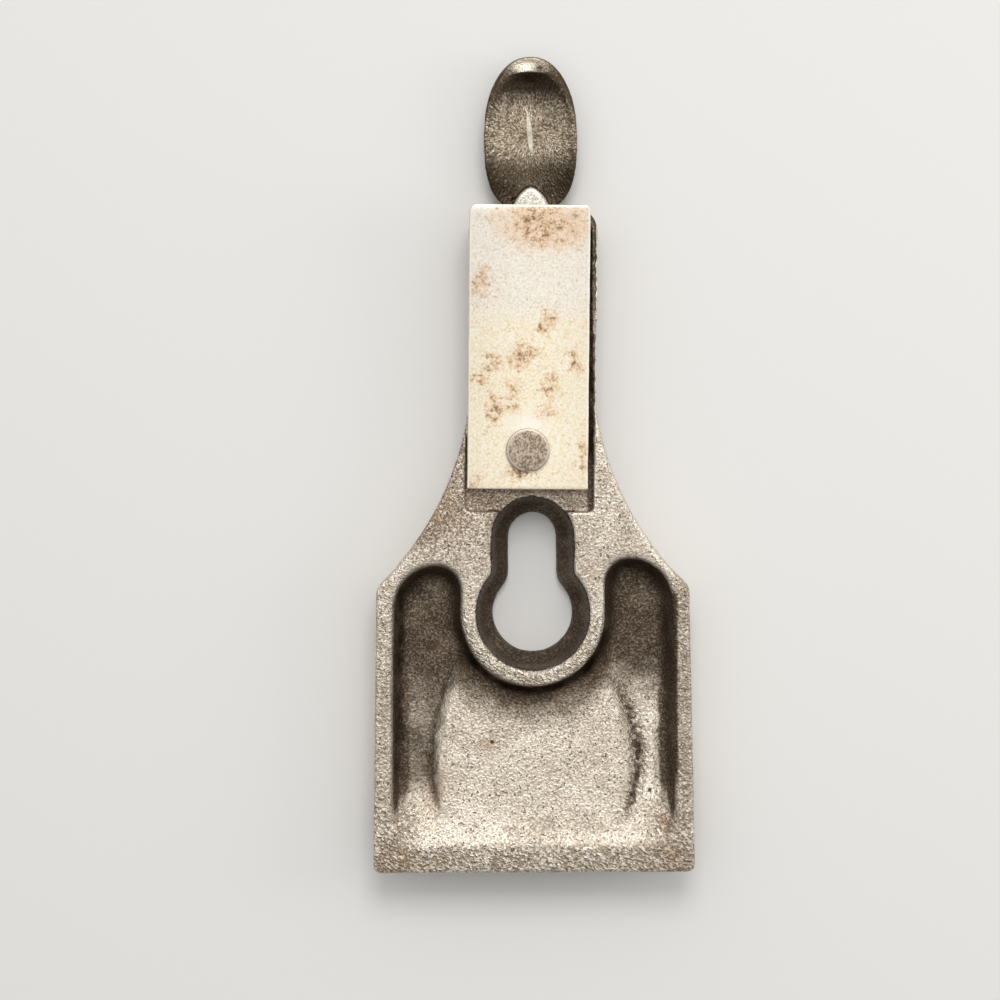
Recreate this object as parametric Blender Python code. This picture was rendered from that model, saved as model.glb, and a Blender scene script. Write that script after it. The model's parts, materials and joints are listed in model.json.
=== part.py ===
"""Lever cap of a smoothing plane: cast body, leaf spring, rivet, cam lever and pivot pin.

Metres, +Z up. The cap lies face down on its outer face: the underside points up,
+Y runs from the lip to the tip of the cam lever, and +X is across the cap.
The origin is under the middle of the bounding box, on the surface the cap lies on.
"""

import math

import bmesh
import bpy
from mathutils import Matrix, Vector

for item in list(bpy.data.objects):
    bpy.data.objects.remove(item, do_unlink=True)

MM = 0.001

# Overall sizes. Lengths along the cap are measured from the lip.
OVERALL_LENGTH = 129.0 * MM
LIP_WIDTH = 50.8 * MM
SHOULDER_WIDTH = 49.4 * MM
SHOULDER_AT = 45.0 * MM
NECK_WIDTH = 20.2 * MM
NECK_SIDE = 0.35 * MM
SWEEP_WIDTH = 19.2 * MM
SWEEP_END = 80.0 * MM
CAP_THICKNESS = 9.0 * MM
LIP_THICKNESS = 2.1 * MM
CROWN_FROM = 28.0 * MM
LIP_CORNER = 1.2 * MM
SHOULDER_CORNER = 0.9 * MM
OUTER_ROUND = 2.4 * MM
RIM_ROUND = 0.45 * MM
WALL_DRAFT = 0.05

# Hollow underside.
RAIL_WIDTH = 2.7 * MM
BOSS_RADIUS = 11.3 * MM
HOLLOW_FRONT = 4.0 * MM
HOLLOW_CORNER = 5.0 * MM
HOLLOW_EDGE = 0.4 * MM
HOLLOW_EDGE_DROP = 0.02 * MM
HOLLOW_FILLET = 2.8 * MM
HOLLOW_TOP_LEFT = 48.4 * MM
HOLLOW_TOP_RIGHT = 49.4 * MM
HOLLOW_SPLIT = 15.2 * MM
RAMP_RISE = 1.1 * MM
RAMP_LENGTH = 3.2 * MM
FLOOR_SLOPE = 0.08
GROOVE_DEPTH = 1.4 * MM
GROOVE_FROM = 7.5 * MM
GROOVE_RUN = 6.5 * MM
HUMP_HALF_WIDTH = 15.6 * MM
HUMP_WIDEST_AT = 16.0 * MM
HUMP_WAIST = 2.6 * MM
HUMP_SOFT = 3.2 * MM

# Keyhole, sized at the outer face, opening wider towards the underside.
KEY_ROUND_RADIUS = 6.29 * MM
KEY_SLOT_HALF = 3.78 * MM
KEY_ROUND_AT = 40.8 * MM
KEY_SLOT_END = 56.7 * MM
KEY_BLEND = 4.0 * MM
BOSS_RING = 2.16 * MM
KEY_EDGE = 0.4 * MM

# Spring, its shallow seat and its rivet.
FIT = 0.2 * MM
SEAT_DEPTH = 0.9 * MM
SEAT_FROM = 56.8 * MM
SEAT_GAP_LEFT = 0.3 * MM
SEAT_GAP_RIGHT = 0.95 * MM
SEAT_CORNER = 0.8 * MM
SEAT_RUN_OUT = 12.0 * MM
SPRING_WIDTH = 19.0 * MM
SPRING_THICKNESS = 1.2 * MM
SEAT_END_GAP = 3.5 * MM
SPRING_PAST_EARS = -0.65 * MM
SPRING_BOW = 1.6 * MM
SPRING_CORNER = 0.8 * MM
SPRING_EDGE = 0.2 * MM
SPRING_SIDE = -0.7 * MM
SPRING_SKEW = math.radians(-0.75)
RIVET_SET_IN = 6.2 * MM
RIVET_HEAD_RADIUS = 3.45 * MM
RIVET_HEAD_HEIGHT = 0.9 * MM
RIVET_EDGE = 0.3 * MM
RIVET_SHANK_RADIUS = 2.0 * MM
RIVET_DEPTH = 4.5 * MM

# Ears, pin and cam lever.
PIN_RADIUS = 1.6 * MM
PIN_FIT = 0.15 * MM
PIN_PROUD = 0.15 * MM
PIN_EDGE = 0.35 * MM
EAR_RADIUS = 4.7 * MM
EAR_CORNER = 2.2 * MM
HUB_WIDTH = 9.6 * MM
FORK_GAP = 0.3 * MM
FORK_ROOT_GAP = 0.8 * MM
CAM_RISE = 0.86 * MM
FLOOR_GAP = 0.3 * MM
HUB_SET_IN = 0.2 * MM
HUB_FRONT = 3.4 * MM
NOSE_LENGTH = 7.0 * MM
NOSE_FROM = 1.0 * MM
NOSE_HALF_WIDTH = 3.4 * MM
NOSE_DRAFT = 1.1 * MM
PAD_LENGTH = 25.4 * MM
PAD_FROM_PIN = 2.7 * MM
PAD_WIDTH = 14.9 * MM
PAD_HEEL = 11.3 * MM
PAD_HEEL_POWER = 3.0
PAD_TIP_POWER = 2.2
PAD_RIM = 0.6 * MM
PAD_SKIN = 1.9 * MM
PAD_TIP_RIM = 2.5 * MM
PAD_TIP_HALF_WIDTH = 0.5 * MM
PAD_TIP_CURL = 3.7 * MM
PAD_CURL_POWER = 10
PAD_BOWL_POWER = 9
PAD_VALLEY_POWER = 1.35
PAD_RIM_HIGH = 0.5 * MM
PAD_RIM_TIP = 0.9 * MM
PAD_LOBE_DROP = 2.4 * MM
PAD_LOBE_RUN = 7.0 * MM
ARM_HALF_WIDTH = 4.3 * MM
ARM_FROM = -1.0 * MM
ARM_RISE = 1.0 * MM

ROUND_STEPS = 32
PAST = CAP_THICKNESS / 4
SNAP = CAP_THICKNESS / 500
LIP_Y = -OVERALL_LENGTH / 2
PIN_AT = OVERALL_LENGTH - PAD_LENGTH - PAD_FROM_PIN
PIN_Z = EAR_RADIUS
KEY_FLARE = BOSS_RADIUS - BOSS_RING - KEY_ROUND_RADIUS
RAMP_FROM = HOLLOW_FRONT - HOLLOW_EDGE
SPRING_FROM = SEAT_FROM + SEAT_END_GAP
RIVET_AT = SPRING_FROM + RIVET_SET_IN
SEAT_Z = CAP_THICKNESS - SEAT_DEPTH
SPRING_Z = SEAT_Z + FIT
SPRING_TO = PIN_AT + EAR_RADIUS + SPRING_PAST_EARS


def bow(reach):
    """Lift of the bent spring at a distance from its rivet, zero behind the rivet."""
    share = max(reach, 0.0) / (SPRING_TO - RIVET_AT)
    return SPRING_BOW * share * share


CAM_TOP = SPRING_Z + bow(PIN_AT - RIVET_AT) - FIT - PIN_Z
CAM_RADIUS = CAM_TOP - CAM_RISE


def smoothstep(low, high, value):
    share = min(max((value - low) / (high - low), 0.0), 1.0)
    return share * share * (3.0 - 2.0 * share)


def spread(low, high, steps):
    return [low + (high - low) * i / steps for i in range(steps + 1)]


def arc(cx, cy, radius, start, stop, steps):
    """Points of an arc given in degrees, both ends included."""
    turns = [math.radians(a) for a in spread(start, stop, steps)]
    return [(cx + radius * math.cos(t), cy + radius * math.sin(t)) for t in turns]


def ring(bm, points):
    """A closed loop of edges through the points."""
    verts = [bm.verts.new(p) for p in points]
    return [bm.edges.new((verts[i - 1], verts[i])) for i in range(len(verts))]


def loft(bm, rings):
    """Skin a row of loops with equal point counts and close both ends."""
    loops = [ring(bm, points) for points in rings]
    for first, second in zip(loops, loops[1:]):
        bmesh.ops.bridge_loops(bm, edges=first + second)
    bmesh.ops.contextual_create(bm, geom=loops[0])
    bmesh.ops.contextual_create(bm, geom=loops[-1])


def finish(name, bm, place=(0.0, 0.0, 0.0), turn=0.0):
    """Store the mesh as an object with its faces pointing outward."""
    bmesh.ops.recalc_face_normals(bm, faces=bm.faces)
    mesh = bpy.data.meshes.new(name)
    bm.to_mesh(mesh)
    bm.free()
    made = bpy.data.objects.new(name, mesh)
    made.location = place
    made.rotation_euler[2] = turn
    bpy.context.scene.collection.objects.link(made)
    return made


def tool(name, bm, place=(0.0, 0.0, 0.0), turn=0.0):
    """A helper solid that cuts or joins another one and never shows itself."""
    made = finish(name, bm, place, turn)
    made.hide_render = True
    made.display_type = "WIRE"
    return made


def combine(target, other, operation):
    step = target.modifiers.new(other.name, "BOOLEAN")
    step.operation = operation
    step.solver = "EXACT"
    step.object = other


def paint(target, colour, metallic, roughness):
    material = bpy.data.materials.new(target.name)
    material.use_nodes = True
    shader = material.node_tree.nodes["Principled BSDF"]
    shader.inputs["Base Color"].default_value = (*colour, 1.0)
    shader.inputs["Metallic"].default_value = metallic
    shader.inputs["Roughness"].default_value = roughness
    target.data.materials.append(material)


def cylinder(radius, low, high, axis):
    """A round bar along an axis, from low to high."""
    bm = bmesh.new()
    bmesh.ops.create_cone(
        bm,
        cap_ends=True,
        segments=ROUND_STEPS,
        radius1=radius,
        radius2=radius,
        depth=high - low,
    )
    shift = Matrix.Translation((0.0, 0.0, (low + high) / 2))
    turned = Vector((0.0, 0.0, 1.0)).rotation_difference(Vector(axis)).to_matrix().to_4x4()
    bmesh.ops.transform(bm, matrix=turned @ shift, verts=bm.verts)
    return bm


def turned_profile(points):
    """A solid of revolution about Z from radius and height pairs."""
    bm = bmesh.new()
    verts = [bm.verts.new((r, 0.0, z)) for r, z in points]
    edges = [bm.edges.new(pair) for pair in zip(verts, verts[1:])]
    bmesh.ops.spin(
        bm,
        geom=verts + edges,
        axis=(0.0, 0.0, 1.0),
        cent=(0.0, 0.0, 0.0),
        angle=2 * math.pi,
        steps=ROUND_STEPS,
        use_merge=True,
    )
    bmesh.ops.remove_doubles(bm, verts=bm.verts, dist=SNAP)
    return bm


def slice_along(bm, axis, places, below=math.inf):
    """Cut the faces that lie below a height at the given places along an axis."""
    normal = Vector((0.0, 0.0, 0.0))
    normal[axis] = 1.0
    for place in places:
        faces = [f for f in bm.faces if max(v.co.z for v in f.verts) < below]
        edges = {e for f in faces for e in f.edges}
        verts = {v for f in faces for v in f.verts}
        geom = faces + list(edges) + list(verts)
        bmesh.ops.bisect_plane(bm, geom=geom, dist=SNAP, plane_co=normal * place, plane_no=normal)


# Cast body: plan outline, crown and ear ends

BOSS_FOOT = KEY_ROUND_AT - BOSS_RADIUS
SWEEP_RUN = SWEEP_END - SHOULDER_AT
SWEEP_STEP = (SHOULDER_WIDTH - SWEEP_WIDTH) / 2
SWEEP_ARC = (SWEEP_RUN**2 + SWEEP_STEP**2) / (2 * SWEEP_STEP)
NECK_STEP = max(NECK_WIDTH - SWEEP_WIDTH, 0.0) / 2
NECK_FROM = SWEEP_END - math.sqrt(SWEEP_ARC**2 - (SWEEP_ARC - NECK_STEP) ** 2)
CROWN_RISE = CAP_THICKNESS - LIP_THICKNESS
CROWN_ARC = (CROWN_FROM**2 + CROWN_RISE**2) / (2 * CROWN_RISE)


def side_line(y):
    """Half-width of the straight sides, slightly wider at the lip."""
    share = min(y / SHOULDER_AT, 1.0)
    return (LIP_WIDTH + (SHOULDER_WIDTH - LIP_WIDTH) * share) / 2


def half_width(y):
    """Half-width of the plan outline: sides, shoulder, concave sweep, neck, rounded ears."""
    back = min(max(SWEEP_END - y, 0.0), SWEEP_ARC)
    sweep = SWEEP_WIDTH / 2 + SWEEP_ARC - math.sqrt(SWEEP_ARC**2 - back**2)
    sweep = max(sweep, NECK_WIDTH / 2)
    line = side_line(y)
    near = max(SHOULDER_CORNER - abs(line - sweep), 0.0) / SHOULDER_CORNER
    width = min(line, sweep) - near * near * SHOULDER_CORNER / 4
    if y < LIP_CORNER:
        width -= LIP_CORNER - math.sqrt(LIP_CORNER**2 - (LIP_CORNER - y) ** 2)
    turned = min(max(y - PIN_AT - EAR_RADIUS + EAR_CORNER, 0.0), EAR_CORNER)
    return width - EAR_CORNER + math.sqrt(EAR_CORNER**2 - turned**2)


def lean(y):
    """Sideways set of the neck, which grows towards the ears."""
    return NECK_SIDE * smoothstep(NECK_FROM, PIN_AT, y)


def outer_height(y):
    """Height of the outer face: flat in the middle, crowned to the lip, round at the ears."""
    if y < CROWN_FROM:
        return CROWN_ARC - math.sqrt(CROWN_ARC**2 - (CROWN_FROM - y) ** 2)
    past = min(max(y - PIN_AT, 0.0), EAR_RADIUS)
    return PIN_Z - math.sqrt(EAR_RADIUS**2 - past**2)


def under_height(y):
    """Height of the underside plane, eased at the lip and round at the ears."""
    ease = RIM_ROUND * max(1.0 - y / RIM_ROUND, 0.0) ** 2
    past = min(max(y - PIN_AT, 0.0), EAR_RADIUS)
    return min(CAP_THICKNESS - ease, PIN_Z + math.sqrt(EAR_RADIUS**2 - past**2))


def body_section(y):
    """One cross-section of the casting, from the outer face round to the underside."""
    low, high, wide = outer_height(y), under_height(y), half_width(y)
    tall = high - low
    turn = min(OUTER_ROUND, 0.45 * tall)
    edge = min(RIM_ROUND, 0.2 * tall)
    foot = wide - WALL_DRAFT * tall
    half = arc(foot - turn, low + turn, turn, -90.0, 0.0, 4)
    half += [(wide, high - edge), (wide - 0.3 * edge, high - 0.3 * edge), (wide - edge, high)]
    right = [(lean(y) + x, LIP_Y + y, z) for x, z in half]
    left = [(lean(y) - x, LIP_Y + y, z) for x, z in reversed(half)]
    return right + left


stations = [0.0, 0.08 * LIP_CORNER, 0.3 * LIP_CORNER, 0.6 * LIP_CORNER, LIP_CORNER]
stations += spread(LIP_CORNER, CROWN_FROM, 9)[1:]
stations += spread(CROWN_FROM, SHOULDER_AT - SHOULDER_CORNER, 3)[1:]
stations += spread(SHOULDER_AT - SHOULDER_CORNER, SHOULDER_AT + SHOULDER_CORNER, 8)[1:]
stations += spread(SHOULDER_AT + SHOULDER_CORNER, NECK_FROM, 11)[1:]
stations += spread(NECK_FROM, PIN_AT, 3)[1:]
stations += [PIN_AT + EAR_RADIUS * math.sin(math.radians(a)) for a in (15, 30, 45, 58, 70, 79, 86)]
body_mesh = bmesh.new()
loft(body_mesh, [body_section(y) for y in stations])
lever_cap = finish("lever_cap", body_mesh)
paint(lever_cap, (0.42, 0.36, 0.28), 0.8, 0.5)


# Hollow underside: a horseshoe pocket round the keyhole boss, ramping up to the lip


def pocket_outline(grow):
    """Plan of the hollow at the underside plane, grown outward by an offset."""
    boss = BOSS_RADIUS - grow
    points = []
    for side, top in ((1.0, HOLLOW_TOP_RIGHT), (-1.0, HOLLOW_TOP_LEFT)):
        wall = side_line(SHOULDER_AT) - RAIL_WIDTH
        big = wall - HOLLOW_SPLIT
        small = HOLLOW_SPLIT - BOSS_RADIUS
        corner = HOLLOW_FRONT + HOLLOW_CORNER
        front = side_line(corner) - RAIL_WIDTH - HOLLOW_CORNER
        half = arc(front, corner, HOLLOW_CORNER + grow, -90.0, 0.0, 6)
        half += [(side_line(y) - RAIL_WIDTH + grow, y) for y in spread(corner, top - big, 5)[1:-1]]
        half += arc(HOLLOW_SPLIT, top - big, big + grow, 0.0, 90.0, 9)
        half += arc(HOLLOW_SPLIT, top - small, small + grow, 90.0, 180.0, 7)[1:]
        half += arc(0.0, KEY_ROUND_AT, boss, 0.0, -90.0, 15)
        points += half if side > 0 else [(-x, y) for x, y in reversed(half[:-1])]
    return points


def hollow_depth(x, y):
    """Depth of the hollow's floor: a broad hump ramping up to the lip, with a groove along each rail."""
    past = max(y - RAMP_FROM, 0.0)
    depth = RAMP_RISE * (1.0 - math.exp(-past / RAMP_LENGTH)) + FLOOR_SLOPE * past
    waist = (y - HUMP_WIDEST_AT) / (BOSS_FOOT - HUMP_WIDEST_AT)
    edge = HUMP_HALF_WIDTH - HUMP_WAIST * waist * waist
    across = smoothstep(edge - HUMP_SOFT / 2, edge + HUMP_SOFT / 2, abs(x))
    along = smoothstep(GROOVE_FROM, GROOVE_FROM + GROOVE_RUN, y)
    return depth + GROOVE_DEPTH * across * along


# Rings of the cutter: a rounded edge growing outward, then a wall and floor fillet going inward,
# each with its share of the edge or fillet and of the depth.
EDGE_RINGS = ((1.0, 0.0), (0.3, 0.03))
FILLET_RINGS = ((0.02, 0.09), (0.14, 0.32), (0.29, 0.64), (0.46, 0.86), (0.71, 0.965), (1.0, 1.0))
WALL_LEVEL = -FILLET_RINGS[0][1]
fillet = min(HOLLOW_FILLET, (HOLLOW_SPLIT - BOSS_RADIUS) * 0.8)
rings = [(2 * HOLLOW_EDGE, -1.0)]
rings += [(share * HOLLOW_EDGE, depth) for share, depth in EDGE_RINGS]
rings += [(-share * fillet, depth) for share, depth in FILLET_RINGS]
pocket = bmesh.new()
loft(pocket, [[(x, y, -depth) for x, y in pocket_outline(grow)] for grow, depth in rings])
bmesh.ops.triangulate(pocket, faces=[f for f in pocket.faces if len(f.verts) > 4])
for edge in (-1.0, 1.0):
    places = spread(HUMP_HALF_WIDTH - HUMP_WAIST - HUMP_SOFT, HUMP_HALF_WIDTH + HUMP_SOFT / 2, 6)
    slice_along(pocket, 0, [edge * x for x in places], WALL_LEVEL)
slice_along(pocket, 1, spread(RAMP_FROM, GROOVE_FROM, 4)[1:], WALL_LEVEL)
slice_along(pocket, 1, spread(GROOVE_FROM, GROOVE_FROM + GROOVE_RUN, 4)[1:], WALL_LEVEL)
slice_along(pocket, 1, spread(GROOVE_FROM + GROOVE_RUN, KEY_ROUND_AT, 10)[1:], WALL_LEVEL)
for vert in pocket.verts:
    x, y, level = vert.co
    high = CAP_THICKNESS + PAST
    low = CAP_THICKNESS - HOLLOW_EDGE_DROP + level * hollow_depth(x, y)
    vert.co.z = high if level > 0 else low
    vert.co.y = LIP_Y + y
combine(lever_cap, tool("hollow_cutter", pocket), "DIFFERENCE")


# Spring seat: a shallow flat step cut square to the spring. It leaves a thin wall on the right
# and runs out over the neck on the left.

seat_low = SEAT_FROM - RIVET_AT
seat_high = PIN_AT + EAR_RADIUS + PAST - RIVET_AT
seat_right = SPRING_WIDTH / 2 + SEAT_GAP_RIGHT
seat_left = -SPRING_WIDTH / 2 - SEAT_GAP_LEFT
seat_free = min(seat_left, -NECK_WIDTH / 2) - PAST
turn = SEAT_CORNER
seat_plan = arc(seat_right - turn, seat_low + turn, turn, -90.0, 0.0, 4)
seat_plan += [(seat_right, seat_high), (seat_free, seat_high)]
seat_plan += [(seat_free, seat_low + SEAT_RUN_OUT + turn), (seat_left, seat_low + SEAT_RUN_OUT)]
seat_plan += arc(seat_left + turn, seat_low + turn, turn, 180.0, 270.0, 4)
seat = bmesh.new()
loft(seat, [[(x, y, z) for x, y in seat_plan] for z in (SEAT_Z, CAP_THICKNESS + PAST)])
seat_place = (SPRING_SIDE, LIP_Y + RIVET_AT, 0.0)
combine(lever_cap, tool("seat_cutter", seat, seat_place, SPRING_SKEW), "DIFFERENCE")


# Keyhole: concentric outlines from the outer face up to the wide mouth in the boss


def keyhole_outline(grow):
    slot, big, blend = KEY_SLOT_HALF + grow, KEY_ROUND_RADIUS + grow, KEY_BLEND - grow
    away = KEY_SLOT_HALF + KEY_BLEND
    rise = math.sqrt((KEY_ROUND_RADIUS + KEY_BLEND) ** 2 - away**2)
    lean = math.degrees(math.atan2(rise, away))
    half = arc(0.0, KEY_ROUND_AT, big, -90.0, lean, 14)
    half += arc(away, KEY_ROUND_AT + rise, blend, 180.0 + lean, 180.0, 5)[1:]
    half += arc(0.0, KEY_SLOT_END - KEY_SLOT_HALF, slot, 0.0, 90.0, 8)
    return half + [(-x, y) for x, y in reversed(half[1:-1])]


keyhole = bmesh.new()
# Height as a share of the cap's thickness, and flare as a share of the whole flare.
KEY_STEPS = ((0.07, 0.0), (0.2, 0.06), (0.3, 0.3), (0.38, 0.58), (0.5, 0.72), (0.75, 0.82))
KEY_STEPS += ((0.93, 0.88), (0.97, 0.95), (1.001, 1.1))
loops = [keyhole_outline(2 * KEY_EDGE), keyhole_outline(KEY_EDGE)]
heights = [-KEY_EDGE, 0.02 * CAP_THICKNESS]
for level, grow in KEY_STEPS:
    heights.append(level * CAP_THICKNESS)
    loops.append(keyhole_outline(grow * KEY_FLARE))
heights.append(CAP_THICKNESS + PAST)
loops.append(keyhole_outline(1.1 * KEY_FLARE))
loft(keyhole, [[(x, LIP_Y + y, z) for x, y in pts] for pts, z in zip(loops, heights)])
combine(lever_cap, tool("keyhole_cutter", keyhole), "DIFFERENCE")


# Fork between the ears, pin hole and blind rivet hole

fork_half = HUB_WIDTH / 2 + FORK_GAP
fork_root = PIN_AT - max(CAM_RADIUS, PIN_Z - FLOOR_GAP) - FORK_ROOT_GAP
fork = bmesh.new()
fork_end = PIN_AT + EAR_RADIUS + PAST
fork_plan = [(fork_half, fork_root), (fork_half, fork_end), (-fork_half, fork_end), (-fork_half, fork_root)]
loft(fork, [[(x, LIP_Y + y, z) for x, y in fork_plan] for z in (-PAST, CAP_THICKNESS + PAST)])
combine(lever_cap, tool("fork_cutter", fork), "DIFFERENCE")

hinge_place = (0.0, LIP_Y + PIN_AT, PIN_Z)
pin_place = (NECK_SIDE, LIP_Y + PIN_AT, PIN_Z)
pin_hole = cylinder(PIN_RADIUS + PIN_FIT, -NECK_WIDTH, NECK_WIDTH, (1.0, 0.0, 0.0))
pin_cutter = tool("pin_cutter", pin_hole, hinge_place)
combine(lever_cap, pin_cutter, "DIFFERENCE")

rivet_place = (SPRING_SIDE, LIP_Y + RIVET_AT, SPRING_Z)
rivet_hole = cylinder(RIVET_SHANK_RADIUS + FIT, -RIVET_DEPTH - 2 * FIT, 2 * PAST, (0.0, 0.0, 1.0))
rivet_cutter = tool("rivet_cutter", rivet_hole, rivet_place)
combine(lever_cap, rivet_cutter, "DIFFERENCE")


# Leaf spring: a bowed strip, its origin at the rivet on the seat


def strip_outline(grow):
    half, low, high = SPRING_WIDTH / 2 + grow, SPRING_FROM - RIVET_AT - grow, SPRING_TO - RIVET_AT + grow
    turn = SPRING_CORNER + grow
    quarter = arc(half - turn, low + turn, turn, -90.0, 0.0, 4)
    quarter += arc(half - turn, high - turn, turn, 0.0, 90.0, 4)
    return quarter + [(-x, y) for x, y in reversed(quarter)]


strip = bmesh.new()
STRIP_STEPS = (
    (-SPRING_EDGE, 0.0),
    (0.0, SPRING_EDGE),
    (0.0, SPRING_THICKNESS - SPRING_EDGE),
    (-SPRING_EDGE, SPRING_THICKNESS),
)
loft(strip, [[(x, y, z) for x, y in strip_outline(grow)] for grow, z in STRIP_STEPS])
slice_along(strip, 1, spread(0.0, SPRING_TO - RIVET_AT, 16)[:-1])
for vert in strip.verts:
    vert.co.z += bow(vert.co.y)
leaf_spring = finish("leaf_spring", strip, rivet_place, SPRING_SKEW)
combine(leaf_spring, rivet_cutter, "DIFFERENCE")
paint(leaf_spring, (0.82, 0.72, 0.55), 0.85, 0.42)


# Rivet: flat head over the spring, shank down into the casting

head_low = SPRING_THICKNESS + FIT
head_high = head_low + RIVET_HEAD_HEIGHT
rivet = turned_profile(
    [
        (0.0, head_high),
        (RIVET_HEAD_RADIUS - RIVET_EDGE, head_high),
        (RIVET_HEAD_RADIUS - 0.3 * RIVET_EDGE, head_high - 0.3 * RIVET_EDGE),
        (RIVET_HEAD_RADIUS, head_high - RIVET_EDGE),
        (RIVET_HEAD_RADIUS, head_low),
        (RIVET_SHANK_RADIUS, head_low),
        (RIVET_SHANK_RADIUS, -RIVET_DEPTH),
        (0.0, -RIVET_DEPTH),
    ]
)
spring_rivet = finish("spring_rivet", rivet, rivet_place)
paint(spring_rivet, (0.4, 0.31, 0.22), 0.8, 0.5)


# Pivot pin through both ears

pin_half = NECK_WIDTH / 2 + PIN_PROUD
pin = turned_profile(
    [
        (0.0, pin_half),
        (PIN_RADIUS - PIN_EDGE, pin_half - 0.2 * PIN_EDGE),
        (PIN_RADIUS, pin_half - PIN_EDGE),
        (PIN_RADIUS, PIN_EDGE - pin_half),
        (PIN_RADIUS - PIN_EDGE, 0.2 * PIN_EDGE - pin_half),
        (0.0, -pin_half),
    ]
)
bmesh.ops.rotate(pin, verts=pin.verts, matrix=Matrix.Rotation(math.pi / 2, 3, "Y"))
cam_pin = finish("cam_pin", pin, pin_place)
paint(cam_pin, (0.42, 0.4, 0.36), 0.9, 0.4)


# Cam lever: hollow oval thumb pad, hub with its eccentric, and the ground flat nose.
# Its origin is on the pin's axis.

TIP = OVERALL_LENGTH - PIN_AT
PAD_LOW = FLOOR_GAP - PIN_Z
PAD_MIDDLE = TIP - PAD_LENGTH / 2
PAD_END_TURN = math.acos((2 * PAD_TIP_HALF_WIDTH / PAD_WIDTH) ** (PAD_TIP_POWER / 2))
PAD_JOIN_TURN = -math.acos((2 * ARM_HALF_WIDTH / PAD_WIDTH) ** (PAD_HEEL_POWER / 2))


def pad_place(turn):
    """Distance from the pin and half-width at an angle round the oval, fuller at its heel."""
    fuller = 2 / (PAD_HEEL_POWER if turn < 0.0 else PAD_TIP_POWER)
    reach = -PAD_HEEL if turn < 0.0 else PAD_LENGTH / 2 / math.sin(PAD_END_TURN) ** fuller
    return PAD_MIDDLE + reach * abs(math.sin(turn)) ** fuller, PAD_WIDTH / 2 * math.cos(turn) ** fuller


def pad_section(y, wide):
    """One cross-section of the spoon: outside skin, rounded rim and a valley between two lobes."""
    share = max(y, 0.0) / TIP
    lobe = 1.0 - smoothstep(PAD_JOIN, PAD_JOIN + PAD_LOBE_RUN, y)
    top = PAD_RIM_HIGH - (PAD_RIM_HIGH - PAD_RIM_TIP) * share**3 - PAD_LOBE_DROP * lobe
    low = PAD_LOW + PAD_TIP_CURL * share**PAD_CURL_POWER + ARM_RISE * smoothstep(-ARM_FROM * 3, ARM_FROM, y)
    past = min(max(y - PAD_MIDDLE, 0.0) / (TIP - PAD_TIP_RIM - PAD_MIDDLE), 1.0)
    rim = min(PAD_RIM + (PAD_TIP_RIM - PAD_RIM) * past**2, 0.36 * wide)
    inner = wide - rim
    bowl = 1.0 - past**PAD_BOWL_POWER
    dish = max(top - low - PAD_SKIN, 0.0) * bowl
    ease = 0.3 * rim
    half = []
    for step in range(7):
        out = math.sin(math.radians(15.0 * step))
        half.append((wide * out, low + (top - low - 2 * ease) * out**2.6))
    half += [(wide - 0.2 * ease, top - 0.9 * ease), (wide - ease, top - 0.2 * ease), (wide - 0.5 * rim, top)]
    half += [(wide - 0.85 * rim, top - 0.2 * ease)]
    for out in (0.97, 0.85, 0.7, 0.5, 0.3, 0.14):
        half.append((inner * out, top - 0.5 * ease * bowl - dish * (1.0 - out**PAD_VALLEY_POWER)))
    half.append((0.0, top - 0.5 * ease * bowl - dish))
    ring_points = half + [(-x, z) for x, z in reversed(half[1:-1])]
    return [(x, y, z) for x, z in ring_points]


PAD_JOIN = pad_place(PAD_JOIN_TURN)[0]
sections = [pad_section(y, ARM_HALF_WIDTH) for y in spread(ARM_FROM, PAD_JOIN, 5)]
sections += [pad_section(*pad_place(t)) for t in spread(PAD_JOIN_TURN, 0.0, 11)[1:]]
sections += [pad_section(*pad_place(t)) for t in spread(0.0, math.radians(60.0), 7)[1:]]
sections += [pad_section(*pad_place(t)) for t in spread(math.radians(60.0), PAD_END_TURN, 8)[1:]]
pad = bmesh.new()
loft(pad, sections)
cam_lever = finish("cam_lever", pad, hinge_place)

hub_low = PAD_LOW + HUB_SET_IN
hub_side = [(HUB_FRONT, CAM_TOP)]
hub_side += arc(0.0, CAM_RISE, CAM_RADIUS, 90.0, 180.0, 12)
for a in spread(0.0, 90.0, 8)[1:]:
    t = math.radians(a)
    hub_side.append((-CAM_RADIUS * math.cos(t), CAM_RISE - (CAM_RISE - hub_low) * math.sin(t)))
hub_side.append((HUB_FRONT, hub_low))
hub = bmesh.new()
loft(hub, [[(x, y, z) for y, z in hub_side] for x in (-HUB_WIDTH / 2, HUB_WIDTH / 2)])
combine(cam_lever, tool("hub_joiner", hub, hinge_place), "UNION")


def nose_outline(grow):
    """Plan of the nose: wide at the hub, running out to a rounded end."""
    reach = NOSE_LENGTH - NOSE_FROM + grow
    half = []
    for a in spread(0.0, 90.0, 10):
        t = math.radians(a)
        across = (NOSE_HALF_WIDTH + 0.3 * grow) * math.cos(t) ** 1.25
        half.append((across, NOSE_FROM + reach * math.sin(t)))
    return half + [(-x, y) for x, y in reversed(half[:-1])]


nose_steps = ((NOSE_DRAFT, PAD_LOW + 0.6 * PAD_SKIN), (0.35 * NOSE_DRAFT, 0.45 * CAM_TOP))
nose_steps += ((0.0, CAM_TOP - HUB_SET_IN), (-HUB_SET_IN, CAM_TOP))
nose = bmesh.new()
loft(nose, [[(x, y, z) for x, y in nose_outline(grow)] for grow, z in nose_steps])
combine(cam_lever, tool("nose_joiner", nose, hinge_place), "UNION")
combine(cam_lever, pin_cutter, "DIFFERENCE")
paint(cam_lever, (0.22, 0.18, 0.13), 0.8, 0.45)
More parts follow.
